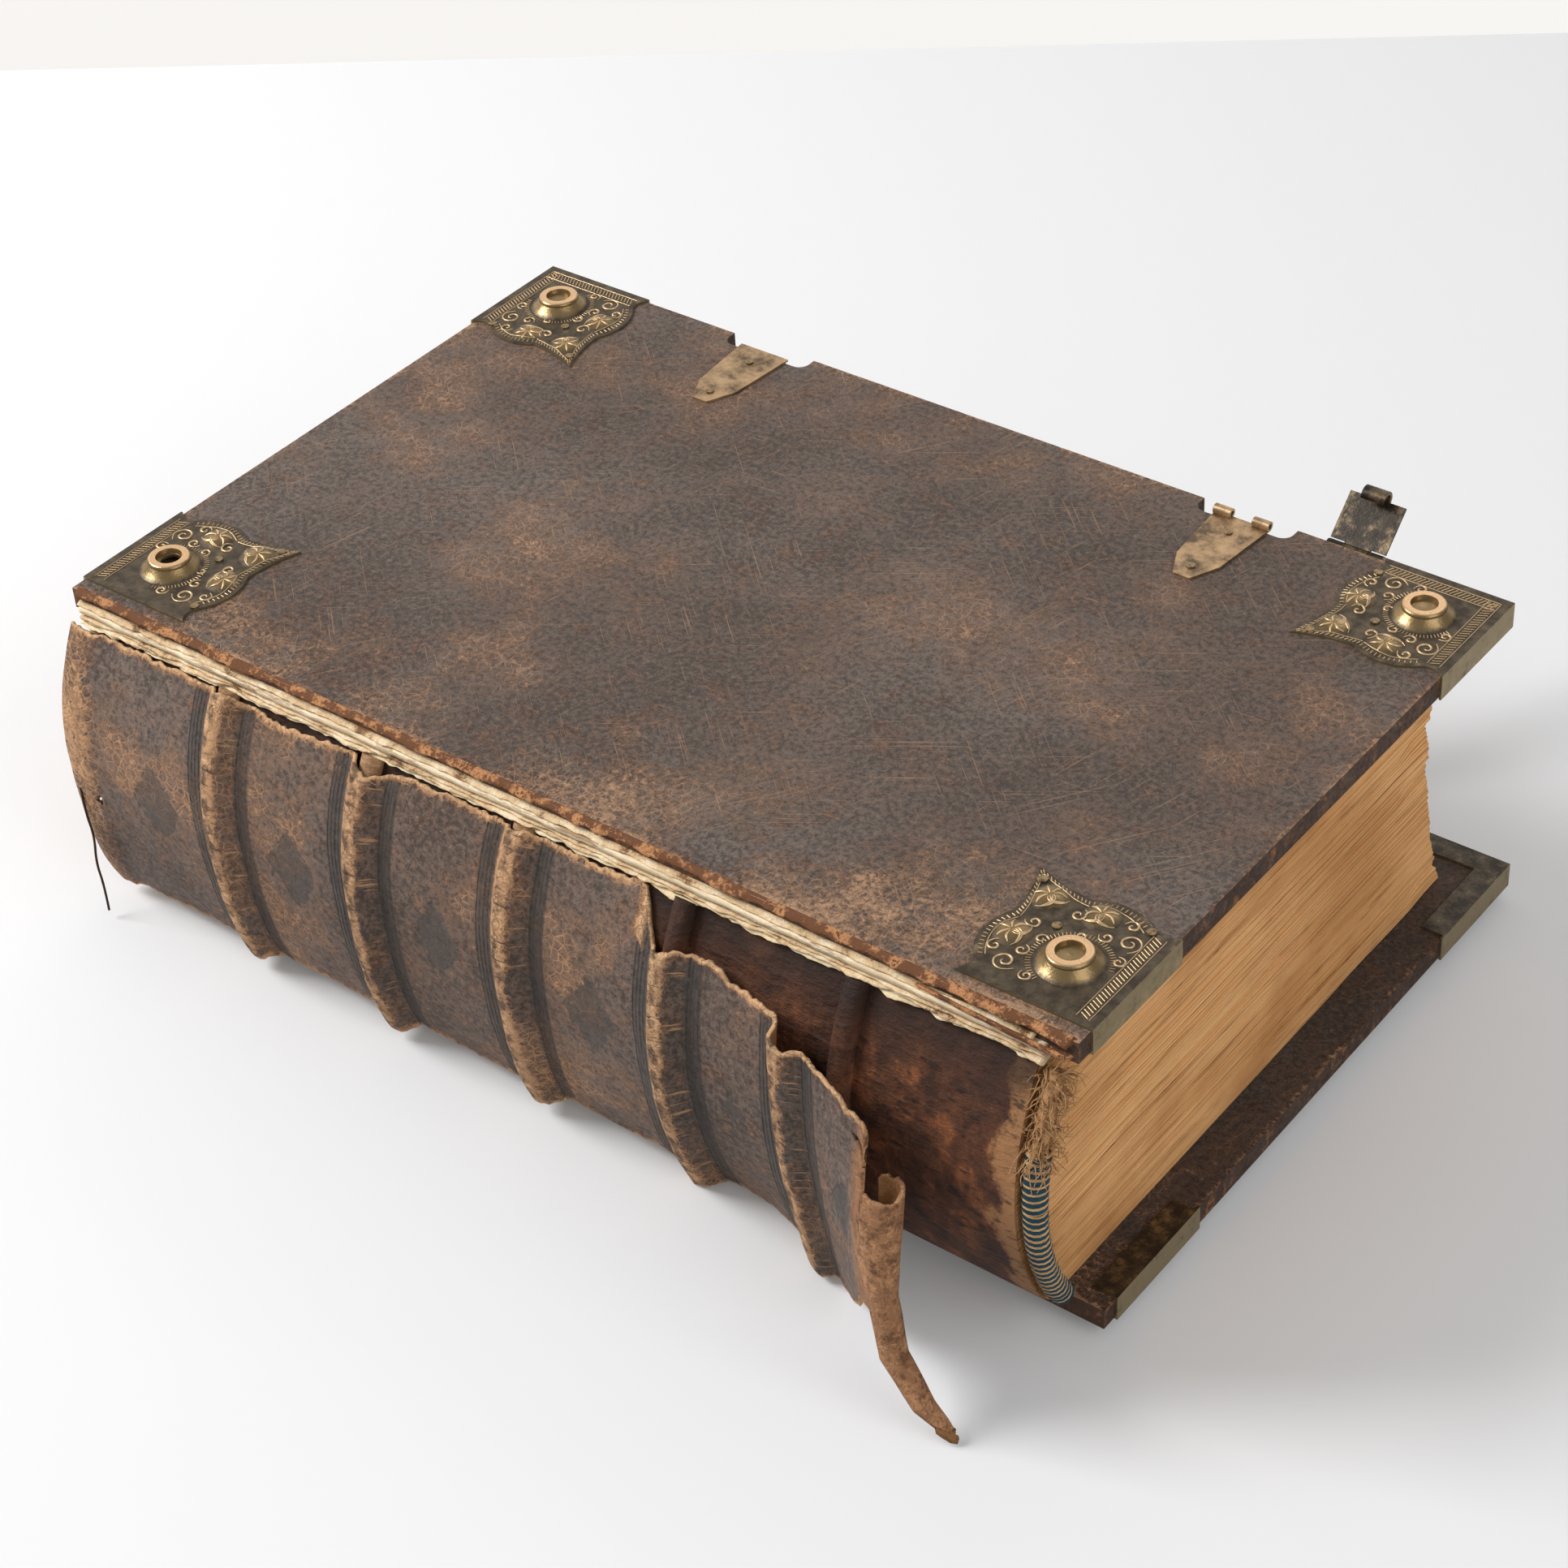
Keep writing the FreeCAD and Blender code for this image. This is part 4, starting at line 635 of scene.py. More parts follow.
# %% Lay the grid
COLUMNS, ROWS = 310, 84
skin = bmesh.new()
bmesh.ops.create_grid(skin, x_segments=COLUMNS, y_segments=ROWS, size=1)
rub, panel, upward, rolled, flank_side, crown_side = (
    skin.verts.layers.float.new(name) for name in ("rub", "from_band", "up", "rolled", "flank", "crown"))
TUCK = 0.10
places = {}
for vert in skin.verts:
    u = -200 + (vert.co.x + 1) / 2 * (END + 200)
    v = (vert.co.y + 1) / 2
    places[vert] = (u, v)
    low, high = foot_of(u), top_of(u)
    if v < TUCK:
        share, under = low, 1 - v / TUCK
    else:
        share, under = low + (high - low) * (v - TUCK) / (1 - TUCK), 0.0
    here = skin_at(u, share)
    side_u = skin_at(u + 0.5, share) - skin_at(u - 0.5, share)
    side_v = skin_at(u, min(share + 0.01, 1)) - skin_at(u, max(share - 0.01, 0))
    out = side_u.cross(side_v).normalized()
    here = here + out * rise_at(u, share)
    if under:
        deep = 10.0 if u < 105 else max(0.6, 10 - (u - 105) * 0.35)
        if u > 156:
            here = here + (horn_at(share)[0] - here) * under * 0.5
        else:
            here = here - out * deep * under
            here.z = max(here.z - 0.8 * under, 1.4)
    vert.co = at(*here)
    gap = band_gap(u)
    height = (share - low) / max(high - low, 0.01)
    shift = 1.4 * wander(18, share * 14) + 0.8 * wander(19, share * 40)
    ridge = 0.0
    if u < 140:
        ridge = 0.76 / (1 + math.exp(-(gap + 6.4) * 2.6)) / (1 + math.exp((gap - 2.6 - shift) * 2.2))
        ridge = max(ridge, 1.1 * math.exp(-(gap / 4) ** 2 - ((share - top_of(u)) * 108 / 7) ** 2))
    cap = 0.47 * math.exp(-abs((u + 196) / 9) ** 4)
    rim = max(0.0, 1 - (high - share) * 108 / (2.6 + 1.6 * wander(10, u * 0.1)))
    hem = max(0.0, 1 - (share - low) * 108 / (4.0 + 2.5 * wander(11, u * 0.08)))
    loose = min(1.0, max(0.0, (u - 148) / 7)) * 0.62
    split_edge = max(0.0, 1 - abs(u - 49) / 3) if share > 0.86 else 0.0
    vert[rub] = max(ridge, cap, rim, hem, loose, split_edge)
    vert[panel] = abs(gap) * MM if u < 146 else 0.04
    vert[flank_side] = max(0.0, 1 - abs(gap - 5.2) / 3.6) if u < 140 else 0.0
    vert[crown_side] = max(0.0, 1 - (abs(gap + 1.6) / 6.4) ** 2) if u < 140 else 0.0
    vert[upward] = share
    vert[rolled] = min(1.0, max(0.0, (u - 147) / 6))


def inside(vert, spots):
    """True in one of some oval spots of the flat skin."""
    u, v = places[vert]
    return any(((u - a) / c) ** 2 + ((v - b) / d) ** 2 < 1 for a, b, c, d in spots)


# The notch under the tongue, the slit beside the fourth band and two worm-eaten holes.
notch = [(151.5, 0.93, 5.6, 0.018), (156.5, 0.945, 4.0, 0.03), (158, 0.985, 4.2, 0.035)]
holes = [(-188.5, 0.47, 1.6, 0.03), (49.2, 0.97, 1.1, 0.06)]
gone = [f for f in skin.faces if all(inside(v, notch + holes) for v in f.verts)]
bmesh.ops.delete(skin, geom=gone, context="FACES")
bmesh.ops.delete(skin, geom=[v for v in skin.verts if not v.link_faces], context="VERTS")
bmesh.ops.recalc_face_normals(skin, faces=skin.faces[:])
probe = min(skin.faces, key=lambda f: (f.calc_center_median() - at(20, -22, 65)).length)
if probe.normal.y > 0:
    bmesh.ops.reverse_faces(skin, faces=skin.faces[:])
print("skin", len(skin.verts), "points")

# %% [markdown]
# ## The finish of the spine
# The binder ran a fillet beside each band and pressed a lozenge in each panel. Both crushed the
# grain, so they stayed dark while the leather round them wore. The grid above left three numbers
# on each point: how rubbed it is, how far it is from a band, and how high it lies. The tooling
# follows those numbers, so it bends with the skin.

# %% Tooling and wear from the skin's own numbers
spine_calf, tree, shader, where = new_finish("vegetable_tanned_calf_spine")
rubbed, gap, up, flank, crown, roll = (
    add(tree, "Attribute", attribute_name=name).outputs["Fac"]
    for name in ("rub", "from_band", "up", "flank", "crown", "rolled"))
stripe = near(tree, gap, 10.6 * MM, 3.6 * MM)
ironed = add(tree, "MapRange", {"Value": stripe, "From Min": 0.0, "From Max": 0.25})
wave = add(tree, "Math", {0: gap, 1: 2 * math.pi / (1.5 * MM)}, operation="MULTIPLY")
wave = add(tree, "Math", {0: wave}, operation="SINE")
fillet = add(tree, "Math", {0: summed(tree, 0.5, (wave, 0.5)), 1: ironed}, operation="MULTIPLY")
across = near(tree, gap, 31.6 * MM, 12 * MM)
frayed = add(tree, "TexNoise", {"Vector": where, "Scale": 1 / (5 * MM), "Detail": 4.0})
both = summed(tree, across, (near(tree, up, 0.52, 0.17), 1.0), (frayed, 0.9))
lozenge = add(tree, "MapRange", {"Value": both, "From Min": 1.50, "From Max": 1.62, "To Max": 0.75})
flat = add(tree, "Math", {0: ironed, 1: 0.8}, operation="MULTIPLY")
flat = add(tree, "Math", {0: flat, 1: lozenge}, operation="MAXIMUM")
clear = add(tree, "MapRange", {"Value": rubbed, "From Min": 0.2, "From Max": 0.6, "To Min": 1.0, "To Max": 0.0})
flat = add(tree, "Math", {0: flat, 1: clear}, operation="MULTIPLY")
shades = ("#2f2723", "#715d50", "#796b62", "#936c53", "#cb9c73", "#e2b588")
tone, relief = calf(tree, shader, where, rubbed, shades, scratched=0.1, crazed=0.85, smooth=flat)

# %% Pleats beside the bands, blots on them and the pale horn
split = add(tree, "SeparateXYZ", {0: where})
along, upward_in, sideways = (
    add(tree, "Math", {0: way, 1: scale}, operation="MULTIPLY")
    for way, scale in ((gap, 1 / (16 * MM)), (up, 108 / 1.7), (split.outputs["X"], 1 / (45 * MM))))
pucker = add(tree, "CombineXYZ", {0: along, 1: upward_in, 2: sideways})
pleats = add(tree, "TexNoise", {"Vector": pucker, "Scale": 1.0, "Detail": 3.0, "Roughness": 0.6})
blot = add(tree, "TexNoise", {"Vector": where, "Scale": 1 / (5 * MM), "Detail": 7.0, "Roughness": 0.7})
pale_line = add(tree, "MapRange", {"Value": pleats, "From Min": 0.60, "From Max": 0.66})
dark_line = add(tree, "MapRange", {"Value": pleats, "From Min": 0.40, "From Max": 0.33})
pale_line, dark_line, soiled, stained = (
    add(tree, "Math", {0: pattern, 1: side}, operation="MULTIPLY")
    for pattern, side in ((pale_line, flank), (dark_line, crown), (blot, crown), (blot, roll)))
tone = coats(tree, tone, ("#c2946b", pale_line, 0.1, 0.7, 0.85), ("#4e382c", dark_line, 0.1, 0.6, 0.8),
             ("#46342a", soiled, 0.42, 0.56, 0.8), ("#ae7a52", roll, 0.0, 1.0, 0.7),
             ("#5a3824", stained, 0.50, 0.62, 0.75))
tree.links.new(tone.outputs[2], shader.inputs["Base Color"])
grooves = add(tree, "Bump", {"Strength": 0.8, "Distance": 0.0007, "Height": fillet})
ridged = add(tree, "Math", {0: flank, 1: crown}, operation="MAXIMUM")
ridged = add(tree, "Math", {0: ridged, 1: pleats}, operation="MULTIPLY")
folds = add(tree, "Bump", {"Strength": 0.9, "Distance": 0.0016, "Height": ridged, "Normal": grooves})
tree.links.new(folds.outputs[0], relief.inputs["Normal"])


# %% Thickness and finishes
def thicken(piece, thick, side):
    """Gives a sheet its thickness in millimetres, inwards at a side of -1 and both ways at 0."""
    wall_of_sheet = piece.modifiers.new("thickness", "SOLIDIFY")
    wall_of_sheet.thickness = thick * MM
    wall_of_sheet.offset = side
    return wall_of_sheet


spine_skin = piece_from("spine_skin", skin, spine_calf)
spine_skin.data.materials.append(flesh)
thicken(spine_skin, LEATHER, -1).material_offset = 1
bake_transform(spine_skin)
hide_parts("spine_leather")
print("skin laid")

# %% [markdown]
# ## The leaves
# About nine hundred leaves of rag paper, folded and sewn in gatherings. The block could be one
# smooth solid with lines painted on. Gatherings slip a little past each other, though, and that
# is what catches the light, so it is built as thin slabs, each a little longer or shorter than
# the next, and only the single leaves inside a gathering are bumps in the finish.

# %% Slabs of leaves
def fore_edge(z):
    """Fore-edge of the leaves at height z: the hollow of a rounded book."""
    a, b, c = (13.3, 232.0), (69.1, 218.0), (116.9, 221.0)
    la = (z - b[0]) * (z - c[0]) / ((a[0] - b[0]) * (a[0] - c[0]))
    lb = (z - a[0]) * (z - c[0]) / ((b[0] - a[0]) * (b[0] - c[0]))
    lc = (z - a[0]) * (z - b[0]) / ((c[0] - a[0]) * (c[0] - b[0]))
    return a[1] * la + b[1] * lb + c[1] * lc


def spine_edge(z):
    """Back of the leaves at height z."""
    return axis_y - math.sqrt(back_r ** 2 - (z - mid_z) ** 2)


POINTS = 96
chance = random.Random(7)
leaves = bmesh.new()
level, count = 13.3, 0
while level < 116.85:
    thick = chance.uniform(0.7, 1.3)
    if 116.9 - level - thick < 0.5:
        thick = 116.9 - level
    made = bmesh.ops.create_circle(leaves, cap_ends=True, segments=POINTS, radius=1)["verts"]
    short, back_in, fore_in = chance.uniform(0.0, 0.5), chance.uniform(0.0, 0.3), chance.uniform(0.0, 0.7)
    middle = level + thick / 2
    for number, vert in enumerate(made):
        side, step = divmod(number * 4 / POINTS, 1)
        s, t = [(step * 2 - 1, -1), (1, step * 2 - 1), (1 - step * 2, 1), (-1, 1 - step * 2)][int(side)]
        y0, y1 = spine_edge(middle) + 0.15 + back_in, fore_edge(middle) - fore_in
        y1 -= 1.2 * max(0.0, wander(12, s * 3, level * 0.3))
        reach = 187.5 - short - 0.5 * max(0.0, wander(13, t * 3, level * 0.2))
        if abs(s) > 0.95 and t > 0.9:
            reach -= 3.0 * max(0.0, wander(14, s * 5, level * 0.15))
        vert.co = at(s * reach, y0 + (y1 - y0) * (t + 1) / 2, level + 0.02)
    sheet = made[0].link_faces[0]
    risen = bmesh.ops.extrude_face_region(leaves, geom=[sheet])
    tops = [g for g in risen["geom"] if isinstance(g, bmesh.types.BMVert)]
    bmesh.ops.translate(leaves, verts=tops, vec=(0, 0, (thick - 0.04) * MM))
    level += thick
    count += 1
bmesh.ops.recalc_face_normals(leaves, faces=leaves.faces[:])
print(count, "gatherings,", len(leaves.faces), "faces")

# %% The colour of old edges
leaf_edges, tree, shader, where = new_finish("cut_edges_of_rag_paper")
split = add(tree, "SeparateXYZ", {0: where})
layers = add(tree, "Mapping", {"Vector": where, "Scale": (1 / (240 * MM), 1 / (150 * MM), 1 / (0.5 * MM))})
lines = add(tree, "TexNoise", {"Vector": layers, "Scale": 1.0, "Detail": 5.0, "Roughness": 0.7})
drawn = add(tree, "Mapping", {"Vector": where, "Scale": (1 / (70 * MM), 1 / (42 * MM), 1 / (2.6 * MM))})
smears = add(tree, "TexNoise", {"Vector": drawn, "Scale": 1.0, "Detail": 6.0, "Roughness": 0.65})
broad = add(tree, "TexNoise", {"Vector": where, "Scale": 1 / (55 * MM), "Detail": 4.0})
# The edges are darker in broad patches towards the back of the leaves.
toward_back = near(tree, split.outputs["Y"], at(0, -8, 0).y, 70 * MM)
darker_back = add(tree, "Math", {0: toward_back, 1: broad}, operation="MULTIPLY")
tone = coats(tree, paint("#cf9961"), ("#e9bb85", lines, 0.44, 0.62, 0.85), ("#ae7744", broad, 0.48, 0.68, 0.6),
             ("#93602f", smears, 0.54, 0.68, 0.65), ("#552f18", smears, 0.66, 0.74, 0.8),
             ("#5b361a", lines, 0.40, 0.30, 0.75), ("#8a5c33", darker_back, 0.2, 0.55, 0.6))
relief = add(tree, "Bump", {"Strength": 0.9, "Distance": 0.0005, "Height": lines})
join(tree, shader, tone, relief, 0.85, 0.15)
leaf_block = piece_from("leaf_block", leaves, leaf_edges, smooth=False)
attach(leaf_block, "page_block")
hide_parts("page_block")

# %% [markdown]
# ## The silk at the tail
# An endband is sewn in two colours over a core, and each pass of the thread shows as a half ring.
# A striped texture on a tube would look painted, so every pass is a real ring of thread, spun
# once and turned to its place on the rounded back. At its upper end the threads have broken,
# and the straw-coloured core stands out in a tuft.

# %% Rings of thread over the core
def on_back(x, inside, degrees):
    """A point on the rounded back, inside millimetres from its face, in the book's own measures."""
    a = math.radians(degrees)
    return Vector((x, axis_y - (back_r - inside) * math.cos(a), mid_z + (back_r - inside) * math.sin(a)))


def thread_ring(bm, middle, tangent, radius, thread, lean):
    """One pass of thread round the core: a small circle spun once round the core's line."""
    made = bmesh.ops.create_circle(bm, segments=6, radius=thread * MM)["verts"]
    bmesh.ops.rotate(bm, verts=made, cent=(0, 0, 0), matrix=Matrix.Rotation(math.pi / 2, 3, "X"))
    bmesh.ops.translate(bm, verts=made, vec=(radius * MM, 0, 0))
    edges = list({e for v in made for e in v.link_edges})
    spun = bmesh.ops.spin(bm, geom=made + edges, cent=(0, 0, 0), axis=(0, 0, 1), angle=2 * math.pi,
                          steps=14, use_merge=True)
    ring = set(made)
    grown = True
    while grown:
        more = {w for v in ring for e in v.link_edges for w in e.verts} - ring
        grown = bool(more)
        ring |= more
    turn = tangent.to_track_quat("Z", "X").to_matrix().to_4x4() @ Matrix.Rotation(lean, 4, "X")
    bmesh.ops.transform(bm, matrix=Matrix.Translation(at(*middle)) @ turn, verts=list(ring))


def wound_band(name, x, low, high, pairs, parts):
    """Rings of one colour along an endband; parts are radius, thread and place in each pair."""
    bm = bmesh.new()
    for number in range(pairs):
        for radius, thread, place in parts:
            angle = low + (high - low) * (number + place + 0.1 * wander(15, number * 1.7, place)) / pairs
            a = math.radians(angle)
            tangent = Vector((0, math.sin(a), math.cos(a)))
            thread_ring(bm, on_back(x, 3.4, angle), tangent, radius + 0.12 * wander(16, number * 0.9, place),
                        thread, 0.10 + 0.05 * wander(17, number * 0.8))
    bmesh.ops.recalc_face_normals(bm, faces=bm.faces[:])
    return bm


dark_parts = [(3.45, 0.62, 0.16), (3.45, 0.62, 0.46)]
pale_parts = [(3.66, 0.38, 0.74), (3.6, 0.36, 0.94)]
tail_silk = piece_from("tail_endband_silk", wound_band("silk", 191.7, -32, 14, 27, dark_parts), teal_silk)
tail_linen = piece_from("tail_endband_linen", wound_band("linen", 191.7, -32, 14, 27, pale_parts), cream_silk)
head_silk = piece_from("head_endband_silk", wound_band("silk", -191.7, -31, 31, 36, dark_parts), teal_silk)
head_linen = piece_from("head_endband_linen", wound_band("linen", -191.7, -31, 31, 36, pale_parts), cream_silk)
for piece in (tail_silk, tail_linen, head_silk, head_linen):
    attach(piece, "page_block")
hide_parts("tail_endband")
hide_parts("head_endband")


# %% Loose fibres
def threads(name, lines, thick, steps, sides):
    """A curve with a smooth round thread for each list of points; a fourth number is its share
    of the thickness there."""
    drawn = bpy.data.curves.new(name, "CURVE")
    drawn.dimensions = "3D"
    drawn.bevel_depth = thick * MM
    drawn.bevel_resolution = sides
    drawn.resolution_u = steps
    drawn.use_fill_caps = True
    for points in lines:
        spline = drawn.splines.new("NURBS")
        spline.points.add(len(points) - 1)
        for spot, place in zip(spline.points, points):
            spot.co = (*at(*place[:3]), 1)
            spot.radius = place[3] if len(place) > 3 else 1.0
        spline.order_u = min(3, len(points))
        spline.use_endpoint_u = True
    made = bpy.data.objects.new(name, drawn)
    bpy.context.scene.collection.objects.link(made)
    return made


def fibres(name, lines, finish, thick):
    """Many fine threads as one mesh."""
    shape = threads(name + "_curve", lines, thick, 3, 0)
    bpy.context.view_layer.update()
    bm = bmesh.new()
    mesh = bpy.data.meshes.new_from_object(shape.evaluated_get(bpy.context.evaluated_depsgraph_get()))
    bm.from_mesh(mesh)
    bpy.data.objects.remove(shape)
    bpy.data.meshes.remove(mesh)
    return piece_from(name, bm, finish)


hairs = []
for number in range(420):
    angle = chance.uniform(12, 31)
    root = on_back(188.8 + chance.uniform(-0.5, 5.0), chance.uniform(0.6, 6.0), angle)
    length = chance.uniform(5, 13)
    aim = Vector((chance.uniform(-0.1, 0.9), chance.uniform(-0.9, 0.9), chance.uniform(-1.2, 0.8))).normalized()
    points = [root]
    for step in range(4):
        sway = Vector((chance.uniform(-0.8, 0.8), chance.uniform(-0.9, 0.7), chance.uniform(-0.9, 0.5)))
        aim = (aim + sway).normalized()
        spot = points[-1] + aim * length / 4
        spot.x = min(max(spot.x, 188.4), 198.5)
        spot.z = min(spot.z, 116.0)
        points.append(spot)
    hairs.append([(*spot, 1.0 - 0.15 * step) for step, spot in enumerate(points)])
tuft = fibres("core_tuft", hairs, straw, 0.26)
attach(tuft, "page_block")
print("tuft", len(hairs), "fibres")

# %% [markdown]
# ## Chased ornament on the upper fittings
# The plates carry leaf scrolls round the boss and over the three domes, a hatched border beside
# each fold and a roped line along the curved edge. A bump map would lose the light on such fine
# lines, so each stroke is a thin ridge of brass, drawn flat in the plate's own corner
# measures and half sunk into it. The hands that polished the domes polished the ridges too.

# %% Strokes in the corner's own measures
PLATE_TOP = 125.75
DOME_ROUND, DOME_EDGE = 15.43, 6.2
dome_middle = PLATE_TOP - 14.13
domes = ((41.5, 23.5), (22, 41), (40.6, 40.6))
boss_at = (20.2, 20.2)
scallops = [((7.8, 45), (18.9, 49.4), (29.9, 46.5)), ((29.9, 46.5), (39.6, 47.4), (51, 51)),
            ((51, 51), (47.4, 39.6), (46.5, 29.9)), ((46.5, 29.9), (49.4, 18.9), (45, 7.8))]
# Middle of each scroll, where its outer end points, its turns and its width.
scrolls = [(36, 10.5, 200, 1.5, 4.2), (10.5, 36, 250, -1.5, 4.2), (29, 38.5, 100, 1.2, 2.8),
           (38.5, 29.5, -10, -1.2, 2.8), (34.6, 17.5, 90, 1.2, 2.5), (17, 34.6, 0, -1.2, 2.5),
           (8.5, 27.5, 60, 1.3, 2.4), (27.5, 8.8, 30, -1.3, 2.4), (14.5, 42.3, 0, 1.2, 2.6),
           (42.6, 13.8, 90, -1.2, 2.6), (31, 24, 150, 1.1, 2.2), (24, 32.5, 300, 1.1, 2.2)]


def on_plate(u, w, thick=1.0):
    """A point of a stroke on the plate or on one of its domes."""
    level = PLATE_TOP
    for a, b in domes:
        far = math.hypot(u - a, w - b)
        if far < DOME_EDGE:
            level = dome_middle + math.sqrt(DOME_ROUND ** 2 - far ** 2)
    return (u, w, level, thick)


def towards_boss(u, w, far, thick):
    """A point of a stroke, moved far millimetres towards the boss."""
    span = math.hypot(boss_at[0] - u, boss_at[1] - w)
    return on_plate(u + (boss_at[0] - u) / span * far, w + (boss_at[1] - w) / span * far, thick)


def spiral(u, w, start, turns, wide, thick=1.3, steps=14):
    """A scroll from its wide end in to its eye, thickest near the middle of its length."""
    made = []
    for n in range(steps + 1):
        t = n / steps
        turned = math.radians(start) + t * turns * 2 * math.pi
        r = wide * (1 - 0.82 * t)
        full = thick * (0.5 + 0.9 * math.sin(math.pi * t))
        made.append(on_plate(u + r * math.cos(turned), w + r * math.sin(turned), full))
    return made


# Leaves of the fans on the domes: distance from the dome's middle, bend and thickness.
fan_leaf = [(0.8, 0.0, 0.7), (2.4, 0.4, 2.0), (3.8, 0.9, 1.9), (4.9, 1.4, 0.6)]
strokes = [spiral(*place) for place in scrolls]
for a, b in domes:
    out = math.degrees(math.atan2(b - boss_at[1], a - boss_at[0]))
    for fan in (-150, -75, -40, 0, 40, 75, 150):
        leaf = []
        for r, k, thick in fan_leaf:
            turned = math.radians(out + fan) + math.radians(fan * 0.35) * k
            leaf.append(on_plate(a + r * math.cos(turned), b + r * math.sin(turned), thick))
        strokes.append(leaf)
    strokes += [spiral(a, b, out + 120, 0.33, 5.9, 1.0, 8), spiral(a, b, out - 120, -0.33, 5.9, 1.0, 8)]
for n in range(44):
    turned = math.radians(-75 + n * 5.4)
    strokes.append([on_plate(boss_at[0] + r * math.cos(turned), boss_at[1] + r * math.sin(turned), 0.6)
                    for r in (11.3, 12.9)])
for scallop in scallops:
    for n in range(13):
        u, w = bow(*scallop, (n + 0.5) / 13)
        strokes.append([towards_boss(u, w, far, 0.8) for far in (1.3, 2.7)])
    strokes.append([towards_boss(*bow(*scallop, 0.02 + 0.96 * n / 8), 3.5, 0.7) for n in range(9)])
hatching = [[on_plate(3 + n * 1.45, 3.0, 0.8), on_plate(4.4 + n * 1.45, 5.9, 0.8)] for n in range(27)]
hatching += [[on_plate(2.5 + n * 8, far, 0.7) for n in range(6)] for far in (2.3, 6.6)]
print(len(strokes), "strokes and", len(hatching), "in each border")

# %% Ornament on each plate
half, width = 200.0, 241.6
for place, x, y, degrees, folds in (
        ("head_spine", -half, 0.0, 0, "w"), ("tail_spine", half, 0.0, 90, "u"),
        ("tail_fore", half, width, 180, "uw"), ("head_fore", -half, width, 270, "uw")):
    drawn = strokes + (hatching if "u" in folds else [])
    drawn = drawn + ([[(w, u, z, r) for u, w, z, r in line] for line in hatching] if "w" in folds else [])
    c, s = round(math.cos(math.radians(degrees))), round(math.sin(math.radians(degrees)))
    placed = [[(x + u * c - w * s, y + u * s + w * c, z, r) for u, w, z, r in line] for line in drawn]
    relief_work = fibres("ornament_" + place, placed, scroll_brass, 0.27)
    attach(relief_work, "upper_cover")
    print(place, len(relief_work.data.polygons), "faces")

# %% [markdown]
# ## The torn joint
# Where the upper cover broke away, the paper guards of the sewing show as ragged white layers
# along the whole back. They are strips cut from a flat grid, with the outer row of points pulled
# in and out like torn fibre, then given the thickness of paper.

# %% Ragged strips
def torn_strip(name, finish, body, slot, z, inner, reach, rag, seed, thick, head, tail, droop):
    """A strip along the joint from y inner out to reach, torn along its outer edge, drooping outwards."""
    bm = bmesh.new()
    bmesh.ops.create_grid(bm, x_segments=320, y_segments=6, size=1)
    for vert in bm.verts:
        x = head + (tail - head) * (vert.co.x + 1) / 2
        share = (1 - vert.co.y) / 2
        tear = sum(share_of * wander(seed + n, x * pace)
                   for n, (share_of, pace) in enumerate(((0.7, 0.06), (0.4, 0.22), (0.15, 0.7))))
        edge = reach - rag * tear
        ruffle = 1 + 0.5 * wander(seed + 4, x * 0.2, share * 2) + 0.4 * tear
        level = z + 0.3 * wander(seed + 3, x * 0.05) - droop * share ** 2 * ruffle
        vert.co = at(x, inner + (edge - inner) * share, level)
    bmesh.ops.recalc_face_normals(bm, faces=bm.faces[:])
    piece = piece_from(name, bm, finish)
    thicken(piece, thick, 0)
    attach(piece, body)
    return piece


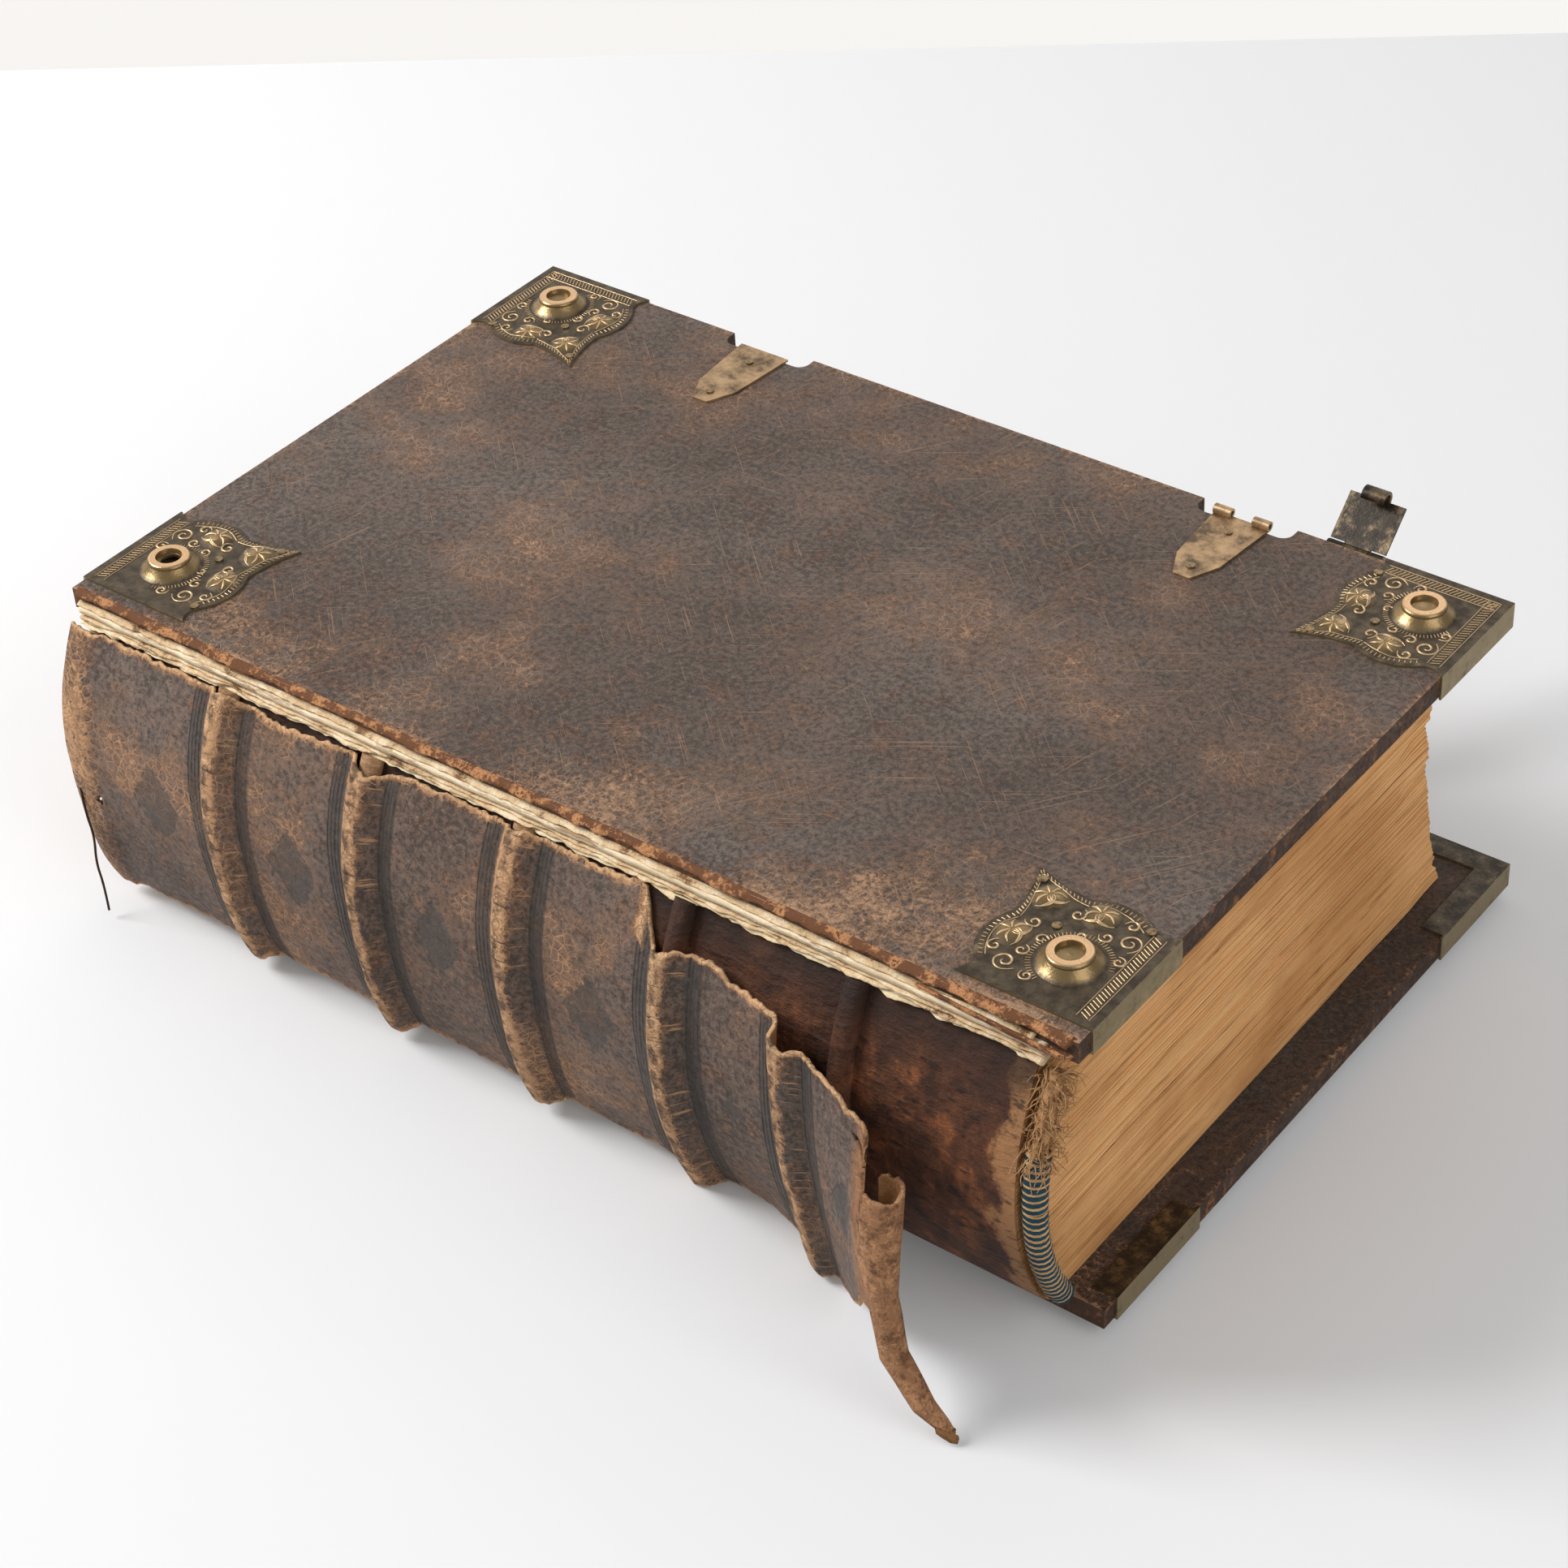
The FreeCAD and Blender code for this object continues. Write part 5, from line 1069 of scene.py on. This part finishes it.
# Height, inner and outer edge, raggedness, seed, thickness, both ends and droop of each strip.
guards = [torn_strip("joint_guard_" + place, stuff, "page_block", "endpaper", *measures, -196, 190, droop)
          for place, stuff, measures, droop in (
              ("top", guard_paper, (116.6, -1.5, -8.4, 1.6, 20, 0.5), 0.4),
              ("middle", guard_paper, (115.8, -2.0, -8.9, 2.0, 30, 0.6), 0.9),
              ("low", rag_paper, (114.9, -2.5, -8.4, 2.6, 40, 0.4), 1.4))]
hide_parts("joint_guard")
cover_tears = [torn_strip("cover_" + place, stuff, "upper_cover", slot, *measures)
               for place, stuff, slot, measures in (
                   ("board_edge", board_edge, "endpaper", (118.9, -5.2, -8.3, 0.6, 50, 2.2, -196, 190, 0.2)),
                   ("joint_paper", guard_paper, "endpaper", (121.2, -5.2, -8.0, 1.3, 60, 0.5, -197, 186, 0.9)),
                   ("joint_leather", torn_calf, "calf", (125.0, -4.6, -7.2, 1.7, 70, 0.7, -198, 198, 1.6)))]
print("torn strips", len(guards) + len(cover_tears))

# %% The curled end of the cover's leather
curl = bmesh.new()
bmesh.ops.create_grid(curl, x_segments=60, y_segments=22, size=1)
for vert in curl.verts:
    along, round_it = (vert.co.x + 1) / 2, (vert.co.y + 1) / 2
    x = 146 + 52 * along
    full = 0.25 + 0.75 * along ** 0.7
    turned = math.radians(80 + 330 * round_it * full)
    r = (3.6 - 1.5 * round_it) * full + 0.25 * wander(80, x * 0.2, round_it * 3)
    vert.co = at(x + 1.2 * wander(81, round_it * 5) * along, -6.9 - r * math.sin(turned) * 0.9,
                 121.6 + r * math.cos(turned))
bmesh.ops.recalc_face_normals(curl, faces=curl.faces[:])
curled = piece_from("curled_joint_leather", curl, torn_calf)
thicken(curled, 0.9, 0)
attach(curled, "upper_cover")
print("curled leather at the tail")

# %% [markdown]
# ## The broken sewing thread
# One thread of the sewing has come out at the head and hangs down over the spine. It is a free
# cord about half a millimetre thick, so it follows the same points as its solid, as a smooth
# line.

# %% Thread
thread_route = [(-197.5, -22.3, 52), (-197, -23, 42), (-195.4, -22.7, 32), (-194.8, -24.9, 22),
                (-193.6, -24.6, 12), (-191.2, -26.6, 3.2)]
thread = threads("hanging_thread", [thread_route], 0.45, 12, 2)
thread.data.materials.append(old_thread)
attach(thread, "page_block")
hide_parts("loose_thread")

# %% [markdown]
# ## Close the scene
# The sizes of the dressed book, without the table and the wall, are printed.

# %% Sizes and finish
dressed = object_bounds()
for low, high, name in zip(dressed[0], dressed[1], "xyz"):
    print(name, round(low, 4), round(high, 4))
